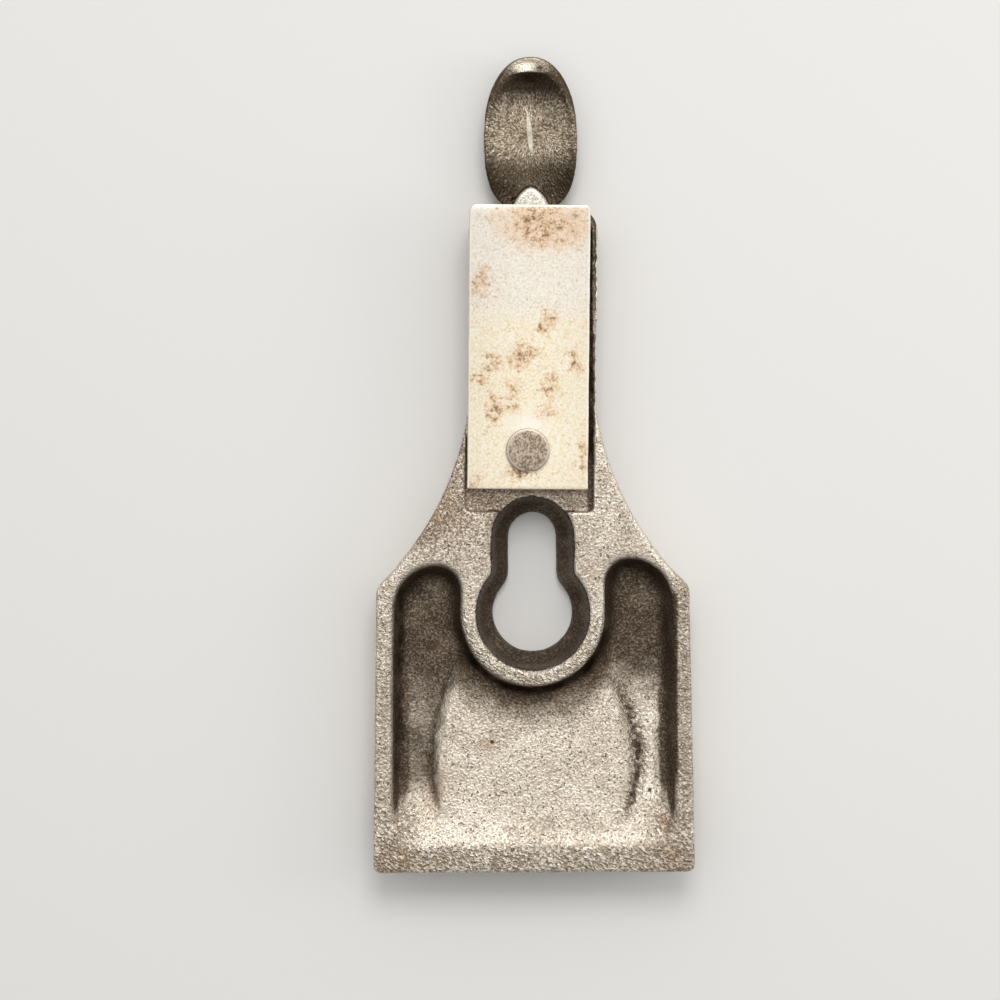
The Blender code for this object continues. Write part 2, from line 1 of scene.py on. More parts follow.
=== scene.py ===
# %% [markdown]
# # A plane's lever cap, lying face down
# A lever cap clamps the iron of a smoothing plane. This one lies on its outer face, so the cast
# underside, the leaf spring and the hollow thumb pad of its cam lever look up at us. The packed
# solids give every size and place. This lesson adds the skin: a cast surface, worn edges, grime,
# stained spring steel and a soft studio.

import json
import math

import bmesh
import bpy
from mathutils import Matrix, Vector, noise
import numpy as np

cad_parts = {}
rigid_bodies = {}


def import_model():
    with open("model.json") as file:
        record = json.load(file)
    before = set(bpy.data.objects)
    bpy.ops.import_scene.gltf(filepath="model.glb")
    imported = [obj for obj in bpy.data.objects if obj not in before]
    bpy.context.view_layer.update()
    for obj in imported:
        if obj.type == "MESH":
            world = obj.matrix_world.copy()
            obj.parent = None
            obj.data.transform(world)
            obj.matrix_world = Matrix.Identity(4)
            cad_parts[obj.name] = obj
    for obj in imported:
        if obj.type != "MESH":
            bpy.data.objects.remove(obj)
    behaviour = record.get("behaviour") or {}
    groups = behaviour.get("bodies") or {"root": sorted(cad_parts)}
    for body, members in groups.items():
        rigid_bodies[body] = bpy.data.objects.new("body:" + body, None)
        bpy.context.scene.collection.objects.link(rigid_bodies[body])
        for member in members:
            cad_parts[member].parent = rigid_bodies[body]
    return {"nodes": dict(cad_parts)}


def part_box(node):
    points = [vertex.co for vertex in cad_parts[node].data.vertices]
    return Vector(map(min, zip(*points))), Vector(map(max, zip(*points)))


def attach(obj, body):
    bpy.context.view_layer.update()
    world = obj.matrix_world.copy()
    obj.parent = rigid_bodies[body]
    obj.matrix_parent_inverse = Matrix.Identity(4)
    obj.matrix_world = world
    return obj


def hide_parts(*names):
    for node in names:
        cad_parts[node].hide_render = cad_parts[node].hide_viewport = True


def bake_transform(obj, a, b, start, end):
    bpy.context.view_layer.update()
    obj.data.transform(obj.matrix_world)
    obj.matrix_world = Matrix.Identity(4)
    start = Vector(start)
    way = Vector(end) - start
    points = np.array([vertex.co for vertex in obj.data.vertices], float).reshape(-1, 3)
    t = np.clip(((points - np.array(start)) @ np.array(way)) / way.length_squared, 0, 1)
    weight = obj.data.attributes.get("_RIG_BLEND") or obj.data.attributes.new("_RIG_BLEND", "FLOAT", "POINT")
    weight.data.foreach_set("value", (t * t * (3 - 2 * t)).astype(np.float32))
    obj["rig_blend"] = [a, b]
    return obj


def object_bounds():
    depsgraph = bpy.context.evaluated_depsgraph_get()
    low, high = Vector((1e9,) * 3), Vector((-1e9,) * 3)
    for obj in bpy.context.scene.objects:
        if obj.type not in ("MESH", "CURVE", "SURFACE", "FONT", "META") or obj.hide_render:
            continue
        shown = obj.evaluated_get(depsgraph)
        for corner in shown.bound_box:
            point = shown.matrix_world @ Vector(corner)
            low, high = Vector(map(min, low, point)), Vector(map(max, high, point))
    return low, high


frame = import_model()
MM = 0.001
CAD_LOW, CAD_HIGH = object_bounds()
print("solids:", sorted(frame["nodes"]))

# %% [markdown]
# ## Camera
# The picture was taken from straight above. A wide lens close by would show the walls of the
# keyhole unevenly, so the camera stands well back. The lens follows from the scale: how many
# pixels one millimetre covers at the height of the rim.

# %% Camera straight above
PIXELS_PER_MM = 6.36
PICTURE_WIDTH = 1000
SENSOR_WIDTH = 36.0
CAMERA_HEIGHT = 420 * MM
CAMERA_OVER = (-5.1 * MM, -5.8 * MM)
CAMERA_ROLL = math.radians(-0.26)

rim_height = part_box("lever_cap")[1].z
eye = bpy.data.objects.new("camera", bpy.data.cameras.new("camera"))
eye.data.sensor_width = SENSOR_WIDTH
eye.data.lens = SENSOR_WIDTH * (CAMERA_HEIGHT - rim_height) * PIXELS_PER_MM / (PICTURE_WIDTH * MM)
eye.location = (*CAMERA_OVER, CAMERA_HEIGHT)
eye.rotation_euler = (0.0, 0.0, CAMERA_ROLL)
bpy.context.scene.collection.objects.link(eye)
bpy.context.scene.camera = eye
bpy.context.scene.view_settings.view_transform = "Standard"
print("lens:", round(eye.data.lens, 1), "mm")

# %% [markdown]
# ## Light and floor
# Bare iron shows what it mirrors, so the sky matters more than the lamps. It is bright overhead and
# beyond the thumb pad and fades towards the lip: walls that face the lip go dark, and the ramp
# behind the lip shines. One broad lamp adds the sparkle on the grain, and a weaker one low on the
# right draws a thin bright line along the right-hand edges. The floor is one sided: from below it
# vanishes, and the pieces can be looked at.

# %% Sky and lamps
SKY_TOWARDS = Vector((0.02, 0.48, 0.87))
SKY_FADE = (-0.15, 1.1)
SKY_DIM = 0.05
SKY_BRIGHT = 1.06
SKY_COLOUR = (1.0, 0.99, 0.97, 1.0)
LAMPS = {
    "lamp": (Vector((25 * MM, 320 * MM, 520 * MM)), 260 * MM, 1.25),
    "side_lamp": (Vector((380 * MM, 20 * MM, 170 * MM)), 160 * MM, 0.24),
}

sky = bpy.data.worlds.new("sky")
bpy.context.scene.world = sky
sky.use_nodes = True
sky_nodes, sky_links = sky.node_tree.nodes, sky.node_tree.links
direction = sky_nodes.new("ShaderNodeTexCoord")
facing = sky_nodes.new("ShaderNodeVectorMath")
facing.operation = "DOT_PRODUCT"
facing.inputs[1].default_value = SKY_TOWARDS
fade = sky_nodes.new("ShaderNodeMapRange")
fade.interpolation_type = "SMOOTHSTEP"
fade.inputs["From Min"].default_value, fade.inputs["From Max"].default_value = SKY_FADE
fade.inputs["To Min"].default_value = SKY_DIM
fade.inputs["To Max"].default_value = SKY_BRIGHT
sky_links.new(direction.outputs["Generated"], facing.inputs[0])
sky_links.new(facing.outputs["Value"], fade.inputs["Value"])
sky_links.new(fade.outputs[0], sky_nodes["Background"].inputs["Strength"])
sky_nodes["Background"].inputs["Color"].default_value = SKY_COLOUR

for name, (place, size, power) in LAMPS.items():
    lamp = bpy.data.objects.new(name, bpy.data.lights.new(name, "AREA"))
    lamp.data.size = size
    lamp.data.energy = power
    lamp.location = place
    lamp.rotation_euler = place.to_track_quat("Z", "Y").to_euler()
    bpy.context.scene.collection.objects.link(lamp)
print("light: sky and", len(LAMPS), "lamps")

# %% Floor
FLOOR_HALF = 2.0
FLOOR_DROP = 0.03 * MM
FLOOR_COLOUR = (0.80, 0.79, 0.77, 1.0)
FLOOR_ROUGHNESS = 0.9

floor_mesh = bmesh.new()
bmesh.ops.create_grid(floor_mesh, x_segments=1, y_segments=1, size=FLOOR_HALF)
bmesh.ops.translate(floor_mesh, verts=floor_mesh.verts, vec=(0.0, 0.0, -FLOOR_DROP))
floor = bpy.data.objects.new("floor", bpy.data.meshes.new("floor"))
floor_mesh.to_mesh(floor.data)
floor_mesh.free()
bpy.context.scene.collection.objects.link(floor)
pale = bpy.data.materials.new("pale_floor")
pale.use_nodes = True
pale_nodes, pale_links = pale.node_tree.nodes, pale.node_tree.links
pale_nodes["Principled BSDF"].inputs["Base Color"].default_value = FLOOR_COLOUR
pale_nodes["Principled BSDF"].inputs["Roughness"].default_value = FLOOR_ROUGHNESS
side = pale_nodes.new("ShaderNodeNewGeometry")
clear = pale_nodes.new("ShaderNodeBsdfTransparent")
either = pale_nodes.new("ShaderNodeMixShader")
pale_links.new(side.outputs["Backfacing"], either.inputs["Fac"])
pale_links.new(pale_nodes["Principled BSDF"].outputs[0], either.inputs[1])
pale_links.new(clear.outputs[0], either.inputs[2])
pale_links.new(either.outputs[0], pale_nodes["Material Output"].inputs["Surface"])
floor.data.materials.append(pale)
print("stage: floor,", 2 * FLOOR_HALF, "m wide")

# %% [markdown]
# ## From solid to skin
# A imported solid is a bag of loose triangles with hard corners, right in size but too crisp for a
# casting. Sculpting it anew would risk moving a face, so a copy is merged, wrapped in an even
# voxel skin and eased a little. The skin's fine mesh can then carry bumps and painted values.

# %% Helpers that wrap a solid
def merged_copy(node):
    """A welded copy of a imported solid."""
    bm = bmesh.new()
    bm.from_mesh(frame["nodes"][node].data)
    bmesh.ops.remove_doubles(bm, verts=bm.verts, dist=0.001 * MM)
    return bm


def to_object(name, bm):
    """Turns a bmesh into an object at the origin."""
    made = bpy.data.objects.new(name, bpy.data.meshes.new(name))
    bm.to_mesh(made.data)
    bm.free()
    bpy.context.scene.collection.objects.link(made)
    return made


def settle(piece):
    """Makes the result of the modifiers the piece's own mesh."""
    graph = bpy.context.evaluated_depsgraph_get()
    piece.data = bpy.data.meshes.new_from_object(piece.evaluated_get(graph))
    piece.modifiers.clear()


def wrapped(name, node, voxel):
    """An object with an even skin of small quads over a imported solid."""
    piece = to_object(name, merged_copy(node))
    skin = piece.modifiers.new("skin", "REMESH")
    skin.mode = "VOXEL"
    skin.voxel_size = voxel
    settle(piece)
    return piece


def ease(bm, verts, rounds):
    """Rounds a mesh a little by moving each of the vertices halfway to its neighbours."""
    for _ in range(rounds):
        bmesh.ops.smooth_vert(
            bm, verts=verts, factor=0.5, use_axis_x=True, use_axis_y=True, use_axis_z=True
        )


# %% [markdown]
# ### Soft limits
# Grime, tints and flaws fade out, they don't stop at a line. So their places are written with soft
# limits: a step that eases from 0 to 1, a band that eases up and down again, and a smooth hill.

# %% Helpers for soft limits
def smoothstep(low, high, value):
    """Eases from 0 at the first limit to 1 at the second, which may be the lower one."""
    share = min(max((value - low) / (high - low), 0.0), 1.0)
    return share * share * (3.0 - 2.0 * share)


def band(value, start, full, last, end):
    """Eases from 0 to 1 between the first two limits and back to 0 between the last two."""
    return smoothstep(start, full, value) * smoothstep(end, last, value)


def hill(offset, width):
    """A smooth hill of height 1, by how far a place is off its middle."""
    return math.exp(-((offset / width) ** 2))


def pit_depth(x, d, pits):
    """Depth in millimetres of round pits at a place."""
    deep = 0.0
    for (pit_x, pit_d), radius, depth in pits:
        away = math.hypot(x - pit_x, d - pit_d) / radius
        if away < 1.0:
            deep += depth * (1.0 - away * away)
    return deep


# %% [markdown]
# ### Reading edges and hollows
# Hands wear the ridges bright, and grime stays in the hollows. A shader can't tell them apart by
# itself, so the mesh is compared with a smoothed copy: a vertex above the copy is a ridge, one
# below it a hollow. The height is kept on the vertices as a named value for the materials.

# %% Helper that stores ridges and hollows
RELIEF_ROUNDS = 8


def store_relief(bm, name):
    """Keeps each vertex's height over a smoothed copy, in millimetres."""
    soft = bm.copy()
    ease(soft, soft.verts, RELIEF_ROUNDS)
    layer = bm.verts.layers.float.new(name)
    bm.normal_update()
    for vert, below in zip(bm.verts, soft.verts):
        vert[layer] = (vert.co - below.co).dot(vert.normal) / MM
    values = [v[layer] for v in bm.verts]
    soft.free()
    print(name, "from", round(min(values), 3), "to", round(max(values), 3), "mm")


# %% [markdown]
# ## The cast body
# The body gets an even skin, and the rims of the two kidney hollows are eased more than the rest.
# The outer face was ground flat, so the skin remembers which way it faces: ground places stay
# smooth. From here on a place is told in millimetres: x across, d along from the lip, z up.

# %% Skin of the cast body
CAST_VOXEL = 0.27 * MM
LIP = CAD_LOW.y
CAP_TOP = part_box("lever_cap")[1].z
KEY_CENTRE = 40.8
KIDNEY_FLOOR = 3.2
KIDNEY_ENDS = (31.0, 52.0)
KIDNEY_SIDE = 23.4
BOSS_SIDE = 10.6
SKIN_ROUNDS = 2
HOLLOW_ROUNDS = 12


def from_lip(place):
    """A place on the body in millimetres: across, along from the lip, and up."""
    return place.x / MM, (place.y - LIP) / MM, place.z / MM


def in_kidney(place):
    """True for the tops of the two kidney hollows, whose edges are soft."""
    x, d, z = from_lip(place)
    between = KIDNEY_ENDS[0] < d < KIDNEY_ENDS[1] and abs(x) < KIDNEY_SIDE
    return z > KIDNEY_FLOOR and between and math.hypot(x, d - KEY_CENTRE) > BOSS_SIDE


casting = wrapped("cast_body", "lever_cap", CAST_VOXEL)
skin = bmesh.new()
skin.from_mesh(casting.data)
ease(skin, skin.verts, SKIN_ROUNDS)
ease(skin, [v for v in skin.verts if in_kidney(v.co)], HOLLOW_ROUNDS)
skin.normal_update()
ground = skin.verts.layers.float.new("ground")
for vert in skin.verts:
    vert[ground] = smoothstep(0.2, 0.75, -vert.normal.z)
print("body skin:", len(skin.verts), "vertices")

# %% [markdown]
# ### Where grime and painted shade sit
# Grime stays where no hand and no iron rubs, and shade falls in the same places: in the kidney
# hollows, on their walls, under the boss, down the keyhole and beside the spring. Both are painted
# into one value that each vertex gets from its position and its slope, walls turned from the bright
# side of the sky getting more as painted shade.

# %% Edges that grime and flaws follow
HUMP_EDGE = 15.6
HUMP_WIDEST = 17.0
HUMP_WAIST = 0.0145
CREASE_EDGE = 16.6
CREASE_WIDEST = 18.0
CREASE_BEND = 0.025
PITS = (((-6.5, 20.4), 0.4, 0.2), ((18.4, 12.7), 0.42, 0.35), ((-17.0, 34.9), 0.4, 0.2))


def hump_edge(d):
    """Half-width of the hump in the hollow at a distance from the lip."""
    return HUMP_EDGE - HUMP_WAIST * (d - HUMP_WIDEST) ** 2


def crease_edge(d):
    """How far right the rough crease runs at a distance from the lip."""
    return CREASE_EDGE - CREASE_BEND * (d - CREASE_WIDEST) ** 2


print("hump:", 2 * HUMP_EDGE, "mm at its widest,", len(PITS), "pits")

# %% Grime and painted shade on the body
# How far past the grime the darkest places go: a black painted shadow in the gap beside the spring and at
# the boss's foot.
DEEP_SHADE = 0.32


def in_hollow(x, d, z, from_key, normal):
    """Share from 0 to 1 by which a place lies in the hollow, inside rails, boss and shoulders."""
    out = abs(x)
    below_rim = smoothstep(8.85, 7.6, z) if x < 0 else smoothstep(8.95, 8.0, z)
    shoulder = smoothstep(0.2, 0.4, normal.y) * smoothstep(44.0, 45.5, d) * smoothstep(16.0, 18.0, out)
    inside = smoothstep(23.4, 22.6, out) * band(d, 3.0, 5.0, 49.0, 51.0)
    return inside * smoothstep(9.2, 10.2, from_key) * below_rim * (1.0 - shoulder)


def hollow_grime_and_shade(x, d, from_key, normal):
    """Grime and painted shade on the hollow's walls, in the kidneys, along the rails, round the boss, in the
    crease and in pits.
    """
    out = abs(x)
    # Painted shade on steep walls that turn away from the bright side of the sky.
    steep = smoothstep(0.93, 0.70, normal.z) * smoothstep(0.45, 0.1, normal.y)
    by_side = max(smoothstep(18.8, 20.6, out), smoothstep(42.0, 45.0, d))
    wall = steep * max(by_side, smoothstep(13.5, 12.0, from_key)) * smoothstep(6.5, 11.0, d)
    edge = hump_edge(d)
    if x < 0:
        soft = 0.5
        kidney = 0.6 * smoothstep(6.0, 17.0, d) + 0.4 * smoothstep(26.0, 38.0, d)
        kidney += 0.1 * smoothstep(12.0, 17.0, d) * hill(out - edge - 0.7, 0.7)
        rail = 0.95 * smoothstep(18.6, 20.2, out) + 0.17 * smoothstep(19.8, 20.8, out)
    else:
        soft = 1.5
        kidney = 0.88 * smoothstep(19.0, 38.0, d)
        waver = 0.5 * noise.noise(Vector((0.0, d * 0.35, 2.0)))
        rail = smoothstep(19.1, 20.6, out + waver)
    kidney *= max(smoothstep(edge - soft, edge + soft, out), smoothstep(30.0, 34.0, d))
    kidney *= smoothstep(9.0, 12.5, out)
    rail *= smoothstep(8.0, 15.0, d)
    # The boss's foot gets grime and painted shade, and black painted shadow close to the boss.
    foot = 0.95 * smoothstep(20.5, 11.8, from_key) * smoothstep(46.0, 38.0, d)
    foot += DEEP_SHADE * smoothstep(15.0, 11.4, from_key) * smoothstep(41.0, 34.0, d)
    # Grime and painted shade along the rough crease.
    crease = 0.62 * hill(x - crease_edge(d), 0.9) * band(d, 7.5, 11.0, 25.0, 31.0)
    crease *= 1.0 + noise.noise(Vector((x, d, 4.0)) * 1.3)
    pit = max(
        smoothstep(radius, 0.5 * radius, math.hypot(x - pit_x, d - pit_d))
        for (pit_x, pit_d), radius, _ in PITS
    )
    return max(wall, kidney, rail, foot, crease, pit)


def keyhole_shade(x, d, z, from_key, normal):
    """Painted shade down the keyhole's walls, in its round and its slot."""
    slot = smoothstep(7.2, 6.6, abs(x)) * band(d, 44.0, 46.0, 60.5, 61.5)
    hole = max(smoothstep(9.6, 9.0, from_key), slot) * smoothstep(8.95, 8.6, z)
    # Walls that face the bright side get a little less painted shade.
    return hole * smoothstep(0.97, 0.85, normal.z) * (1.0 - 0.12 * smoothstep(0.2, 0.7, normal.y))


def seat_grime_and_shadow(x, d, z, normal):
    """Grime and painted shade in the spring's seat, and a black painted shadow in the gap to its right."""
    # Painted shadow in the gap right of the spring, less on faces turned to the right-hand lamp.
    gap = band(x, 8.4, 9.0, 9.6, 10.0) * smoothstep(0.6, 0.2, normal.x)
    gap *= 1.0 + DEEP_SHADE * smoothstep(62.0, 66.0, d) - 0.7 * smoothstep(101.0, 101.8, d)
    seat = smoothstep(56.0, 57.0, d) * smoothstep(8.6, 8.2, z) * max(0.38, gap)
    return seat * smoothstep(-0.5, 0.2, normal.z)


def right_ledge_shade(x, d, normal):
    """Painted shade on the inner edge of the right rail."""
    ledge = 0.85 * band(x, 20.6, 21.4, 22.4, 23.2) * band(d, 12.0, 17.0, 43.0, 46.0)
    return ledge * smoothstep(-0.3, 0.1, normal.z)


def grime_and_shade_at(place, normal):
    """Share of grime and painted shade at a place on the body. Values past 1 are black."""
    x, d, z = from_lip(place)
    from_key = math.hypot(x, d - KEY_CENTRE)
    hollow = in_hollow(x, d, z, from_key, normal) * hollow_grime_and_shade(x, d, from_key, normal)
    keyhole = keyhole_shade(x, d, z, from_key, normal)
    return max(hollow, keyhole, seat_grime_and_shadow(x, d, z, normal), right_ledge_shade(x, d, normal))


# Grime and painted shade are kept as one value on each vertex.
grime_and_shade = skin.verts.layers.float.new("grime_and_shade")
for vert in skin.verts:
    vert[grime_and_shade] = grime_and_shade_at(vert.co, vert.normal)
print("grimy vertices:", sum(v[grime_and_shade] > 0.5 for v in skin.verts))


# %% Brown and coarse places
def brown_at(place, normal):
    """Share of brown from 0 to 1 where hands and damp have tinted the body."""
    x, d, z = from_lip(place)
    neck = smoothstep(43.0, 54.0, d) * (0.2 + 0.75 * smoothstep(10.0, -12.0, x))
    neck *= 0.3 + 0.7 * smoothstep(0.2, 0.7, normal.z)
    hump = 0.6 * smoothstep(17.0, 31.0, d) * smoothstep(17.0, 10.0, abs(x)) * smoothstep(8.4, 8.0, z)
    rail = (0.4 if x < 0 else 0.5) * smoothstep(21.5, 22.5, abs(x))
    rail *= smoothstep(8.4, 8.8, z) * smoothstep(6.0, 14.0, d)
    lip = 0.2 * smoothstep(2.6, 0.8, d)
    return max(neck, hump, rail, lip)


def coarse_at(place):
    """Share of crumpled skin from 0 to 1: on rails, lip, corners and boss, and in the crease."""
    x, d, z = from_lip(place)
    out = abs(x)
    high = max(smoothstep(8.2, 8.7, z), smoothstep(1.6, 0.8, d))
    side = smoothstep(21.0, 22.0, out) * (0.35 if x < 0 else 0.5)
    rails = high * max(side, 0.75 * smoothstep(5.2, 3.6, d)) * smoothstep(50.0, 44.0, d)
    corners = 0.7 * smoothstep(16.5, 20.0, out) * smoothstep(13.5, 9.0, d)
    boss = 0.6 * smoothstep(11.8, 11.2, math.hypot(x, d - KEY_CENTRE)) * smoothstep(43.0, 38.0, d)
    crease = hill(x - crease_edge(d), 1.3) * band(d, 7.0, 10.0, 28.0, 32.0)
    return max(rails, corners, boss, crease * smoothstep(8.6, 8.2, z))


brown = skin.verts.layers.float.new("brown")
coarse = skin.verts.layers.float.new("coarse")
for vert in skin.verts:
    vert[brown] = brown_at(vert.co, vert.normal)
    vert[coarse] = coarse_at(vert.co)
print("coarse vertices:", sum(v[coarse] > 0.5 for v in skin.verts))

# %% [markdown]
# ### Flaws of the casting
# No two castings are alike, and this one has marks of its own: the hump's right edge ends in a
# rough crease, its left edge in a low ledge, the thin wall beside the spring is ragged, the step
# behind the lip wavers, and there are a few pits. The far corners of the ears have worn round.

# %% Shapes of the flaws
CREASE_DEPTH = 0.28
CREASE_WIDTH = 0.9
FILL = 0.55
LEDGE = 0.22
RAGGED_UP = 0.35
RAGGED_DROP = 0.1
RAGGED_OUT = 0.22
STEP_WAVE = 0.25
EAR_ROUND = 5.0
EAR_EDGE = 10.45
EAR_END = (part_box("lever_cap")[1].y - LIP) / MM


def flaw_at(place):
    """Shift in millimetres that a casting flaw gives a place on the upper skin."""
    x, d, z = from_lip(place)
    shift = Vector((0.0, 0.0, 0.0))
    if 6.0 < d < 33.0 and z < 8.8:
        edge = crease_edge(d) + 0.5 * noise.noise(Vector((2.0, d * 0.5, 5.0)))
        rough = 1.0 + noise.noise(Vector((x * 1.3, d * 1.3, 0.0)))
        along = band(d, 8.5, 12.0, 21.0, 33.0)
        shift.z -= CREASE_DEPTH * rough * along * hill(x - edge, CREASE_WIDTH)
        shift.z += FILL * along * smoothstep(edge - 0.8, edge + 2.6, x) * smoothstep(21.2, 18.6, x)
    if x < 0 and 8.0 < d < 33.0 and z < 8.8:
        edge = hump_edge(d) + 0.6 * noise.noise(Vector((4.0, d * 0.45, 1.0)))
        along = band(d, 8.0, 12.0, 29.0, 33.0)
        raised = LEDGE * along * smoothstep(edge + 0.4, edge - 0.3, -x)
        shift.z += raised * smoothstep(edge - 3.0, edge - 0.4, -x)
        shift.z -= 0.5 * LEDGE * along * hill(-x - edge - 0.8, 0.7)
    if x > 9.4 and 64.0 < d < 100.0 and z > 8.15:
        ragged = band(d, 64.0, 72.0, 97.0, 100.0)
        shift.z += ragged * (RAGGED_UP * noise.noise(Vector((0.0, d * 0.9, 3.0))) - RAGGED_DROP)
        shift.x += ragged * RAGGED_OUT * noise.noise(Vector((7.0, d * 0.8, 0.0)))
    if 2.0 < d < 9.0 and z > 6.5:
        wave = STEP_WAVE * noise.noise(Vector((x * 0.28, 0.0, 9.0)))
        shift.z += wave * smoothstep(2.5, 4.5, d) * smoothstep(9.0, 6.0, d)
    shift.z -= pit_depth(x, d, PITS)
    return shift


def ear_at(place):
    """Shift in millimetres that rounds off the far corners of the ears, which have worn."""
    x, d, _ = from_lip(place)
    middle = Vector((EAR_EDGE - EAR_ROUND, EAR_END - EAR_ROUND))
    corner = Vector((abs(x), d)) - middle
    over = corner.length - EAR_ROUND
    if min(corner) <= 0.0 or over <= 0.0:
        return Vector((0.0, 0.0, 0.0))
    inward = -over * corner.normalized()
    return Vector((inward.x if x > 0 else -inward.x, inward.y, 0.0))


print("ears end", round(EAR_END, 1), "mm from the lip")

# %% [markdown]
# ### Noise on the skin
# Sand leaves a casting slightly lumpy. Two sizes of noise push the skin in and out together with
# the flaws: long swells that bend the reflections, and short grit. The ground outer face gets very
# little of both. The ragged wall and the right-hand rims get a raised ridge value, so that the wear
# paints a highlight along them.

# %% Push flaws and noise into the skin
SWELL, SWELL_SCALE = 0.07 * MM, 240.0
GRIT, GRIT_SCALE = 0.035 * MM, 1000.0
GROUND_AWAY = 0.85
UPWARD = 0.25
# Ridge value added on right-hand edges, which the wear paints as a highlight.
RIGHT_EDGE_HIGHLIGHT = 0.06

shifts = []
for vert in skin.verts:
    swell = noise.noise(vert.co * SWELL_SCALE) * SWELL
    grit = noise.noise(vert.co * GRIT_SCALE) * GRIT
    shift = vert.normal * (swell + grit) * (1.0 - GROUND_AWAY * vert[ground])
    if vert.normal.z > UPWARD:
        shift += flaw_at(vert.co) * MM
    shifts.append(shift + ear_at(vert.co) * MM)
for vert, shift in zip(skin.verts, shifts):
    vert.co += shift
    vert.co.z = min(max(vert.co.z, 0.0), CAP_TOP)
store_relief(skin, "ridge")
ridge = skin.verts.layers.float["ridge"]
# Painted highlight: the ragged wall and the right-hand rims get extra ridge value.
for vert in skin.verts:
    x, d, z = from_lip(vert.co)
    ragged_wall = x > 9.6 and 64.0 < d < 100.0
    right_rim = vert.normal.x > 0.4 and (x > 23.0 or (d > 48.0 and x > 10.0))
    if z > 8.2 and (ragged_wall or right_rim):
        vert[ridge] += RIGHT_EDGE_HIGHLIGHT
skin.to_mesh(casting.data)
skin.free()


# %% Thin out the flat parts
MOST_TRIANGLES = 190000


def triangle_count(piece):
    """How many triangles a piece's faces make."""
    return sum(len(f.vertices) - 2 for f in piece.data.polygons)


triangles = triangle_count(casting)
thin = casting.modifiers.new("thin", "DECIMATE")
thin.ratio = min(MOST_TRIANGLES / triangles, 1.0)
settle(casting)
casting.data.shade_smooth()
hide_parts("lever_cap")
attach(casting, "cap")
print("cast body:", triangles, "triangles thinned to", triangle_count(casting))

# %% [markdown]
# ## The leaf spring
# The spring is a plain strip cut from flat stock and bowed. A box with filleted corners is sliced
# across its length, so that it can bend, and then follows the solid's curve. The hole for the
# rivet is cut with a turned bar.

# %% Leaf spring
SPRING_SIZE = Vector((19.0 * MM, 44.65 * MM, 1.2 * MM))
SPRING_FOOT = 6.2 * MM
FOOT_CORNER = 0.35 * MM
LEFT_CORNER = 1.2 * MM
RIGHT_CORNER = 0.7 * MM
RIM_ROUND = 0.2 * MM


def round_edges(bm, edges, radius, segments):
    """Rounds some edges of a mesh."""
    bmesh.ops.bevel(
        bm, geom=edges, offset=radius, affect="EDGES", segments=segments, profile=0.5, material=-1
    )


strip = bmesh.new()
bmesh.ops.create_cube(strip, size=1.0)
bmesh.ops.scale(strip, verts=strip.verts, vec=SPRING_SIZE)
bmesh.ops.translate(
    strip, verts=strip.verts, vec=(0.0, SPRING_SIZE.y / 2 - SPRING_FOOT, SPRING_SIZE.z / 2)
)
uprights = [e for e in strip.edges if abs(e.verts[0].co.z - e.verts[1].co.z) > 0.5 * MM]
for edge in uprights:
    corner = edge.verts[0].co
    free_end = LEFT_CORNER if corner.x < 0 else RIGHT_CORNER
    round_edges(strip, [edge], FOOT_CORNER if corner.y < 0 else free_end, 5)
flat = [f for f in strip.faces if abs(f.normal.z) > 0.9]
round_edges(strip, list({e for f in flat for e in f.edges}), RIM_ROUND, 3)
print("spring blank:", len(strip.faces), "faces")

# %% Bend and place the spring
SPRING_BOW = 1.6 * MM
SPRING_SKEW = math.radians(-0.75)
SPRING_PIVOT = Vector((-0.7 * MM, 2.0 * MM, 8.3 * MM))
SLICES = 64
EDGE_WAVER = 0.05
DRILL_RADIUS = 2.2 * MM
DRILL_LENGTH = 6 * MM
SHARP_SPRING = math.radians(35.0)

for i in range(1, SLICES):
    place = Vector((0.0, SPRING_SIZE.y * i / SLICES - SPRING_FOOT, 0.0))
    everything = strip.verts[:] + strip.edges[:] + strip.faces[:]
    bmesh.ops.bisect_plane(strip, geom=everything, plane_co=place, plane_no=(0, 1, 0))
reach = SPRING_SIZE.y - SPRING_FOOT
for vert in strip.verts:
    share = max(vert.co.y, 0.0) / reach
    vert.co.z += SPRING_BOW * share * share
    vert.co.x += noise.noise(Vector((0.0, vert.co.y * 420.0, vert.co.x * 60.0))) * EDGE_WAVER * MM
place = Matrix.Translation(SPRING_PIVOT) @ Matrix.Rotation(SPRING_SKEW, 4, "Z")
bmesh.ops.transform(strip, matrix=place, verts=strip.verts)
bmesh.ops.recalc_face_normals(strip, faces=strip.faces)
spring = to_object("spring_strip", strip)

bar = bmesh.new()
bmesh.ops.create_cone(
    bar, cap_ends=True, segments=48, radius1=DRILL_RADIUS, radius2=DRILL_RADIUS, depth=DRILL_LENGTH
)
bmesh.ops.translate(bar, verts=bar.verts, vec=SPRING_PIVOT)
bar = to_object("rivet_drill", bar)
drill = spring.modifiers.new("rivet_hole", "BOOLEAN")
drill.solver = "EXACT"
drill.object = bar
settle(spring)
bpy.data.objects.remove(bar)
for face in spring.data.polygons:
    face.use_smooth = True
spring.data.set_sharp_from_angle(angle=SHARP_SPRING)
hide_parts("leaf_spring")
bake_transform(spring, "cap", "spring", start=(0.0, 4.7 * MM, 8.9 * MM), end=(0.0, 15.7 * MM, 8.9 * MM))
print("spring:", len(spring.data.vertices), "vertices")

# %% [markdown]
# ## Rivet and pin
# Both are turned parts, so half a profile is spun round an axis. The rivet's head was set with a
# hammer: its edge is rolled, with one flat nick, and its face is a touch domed. The pin's ends are
# lightly peened.

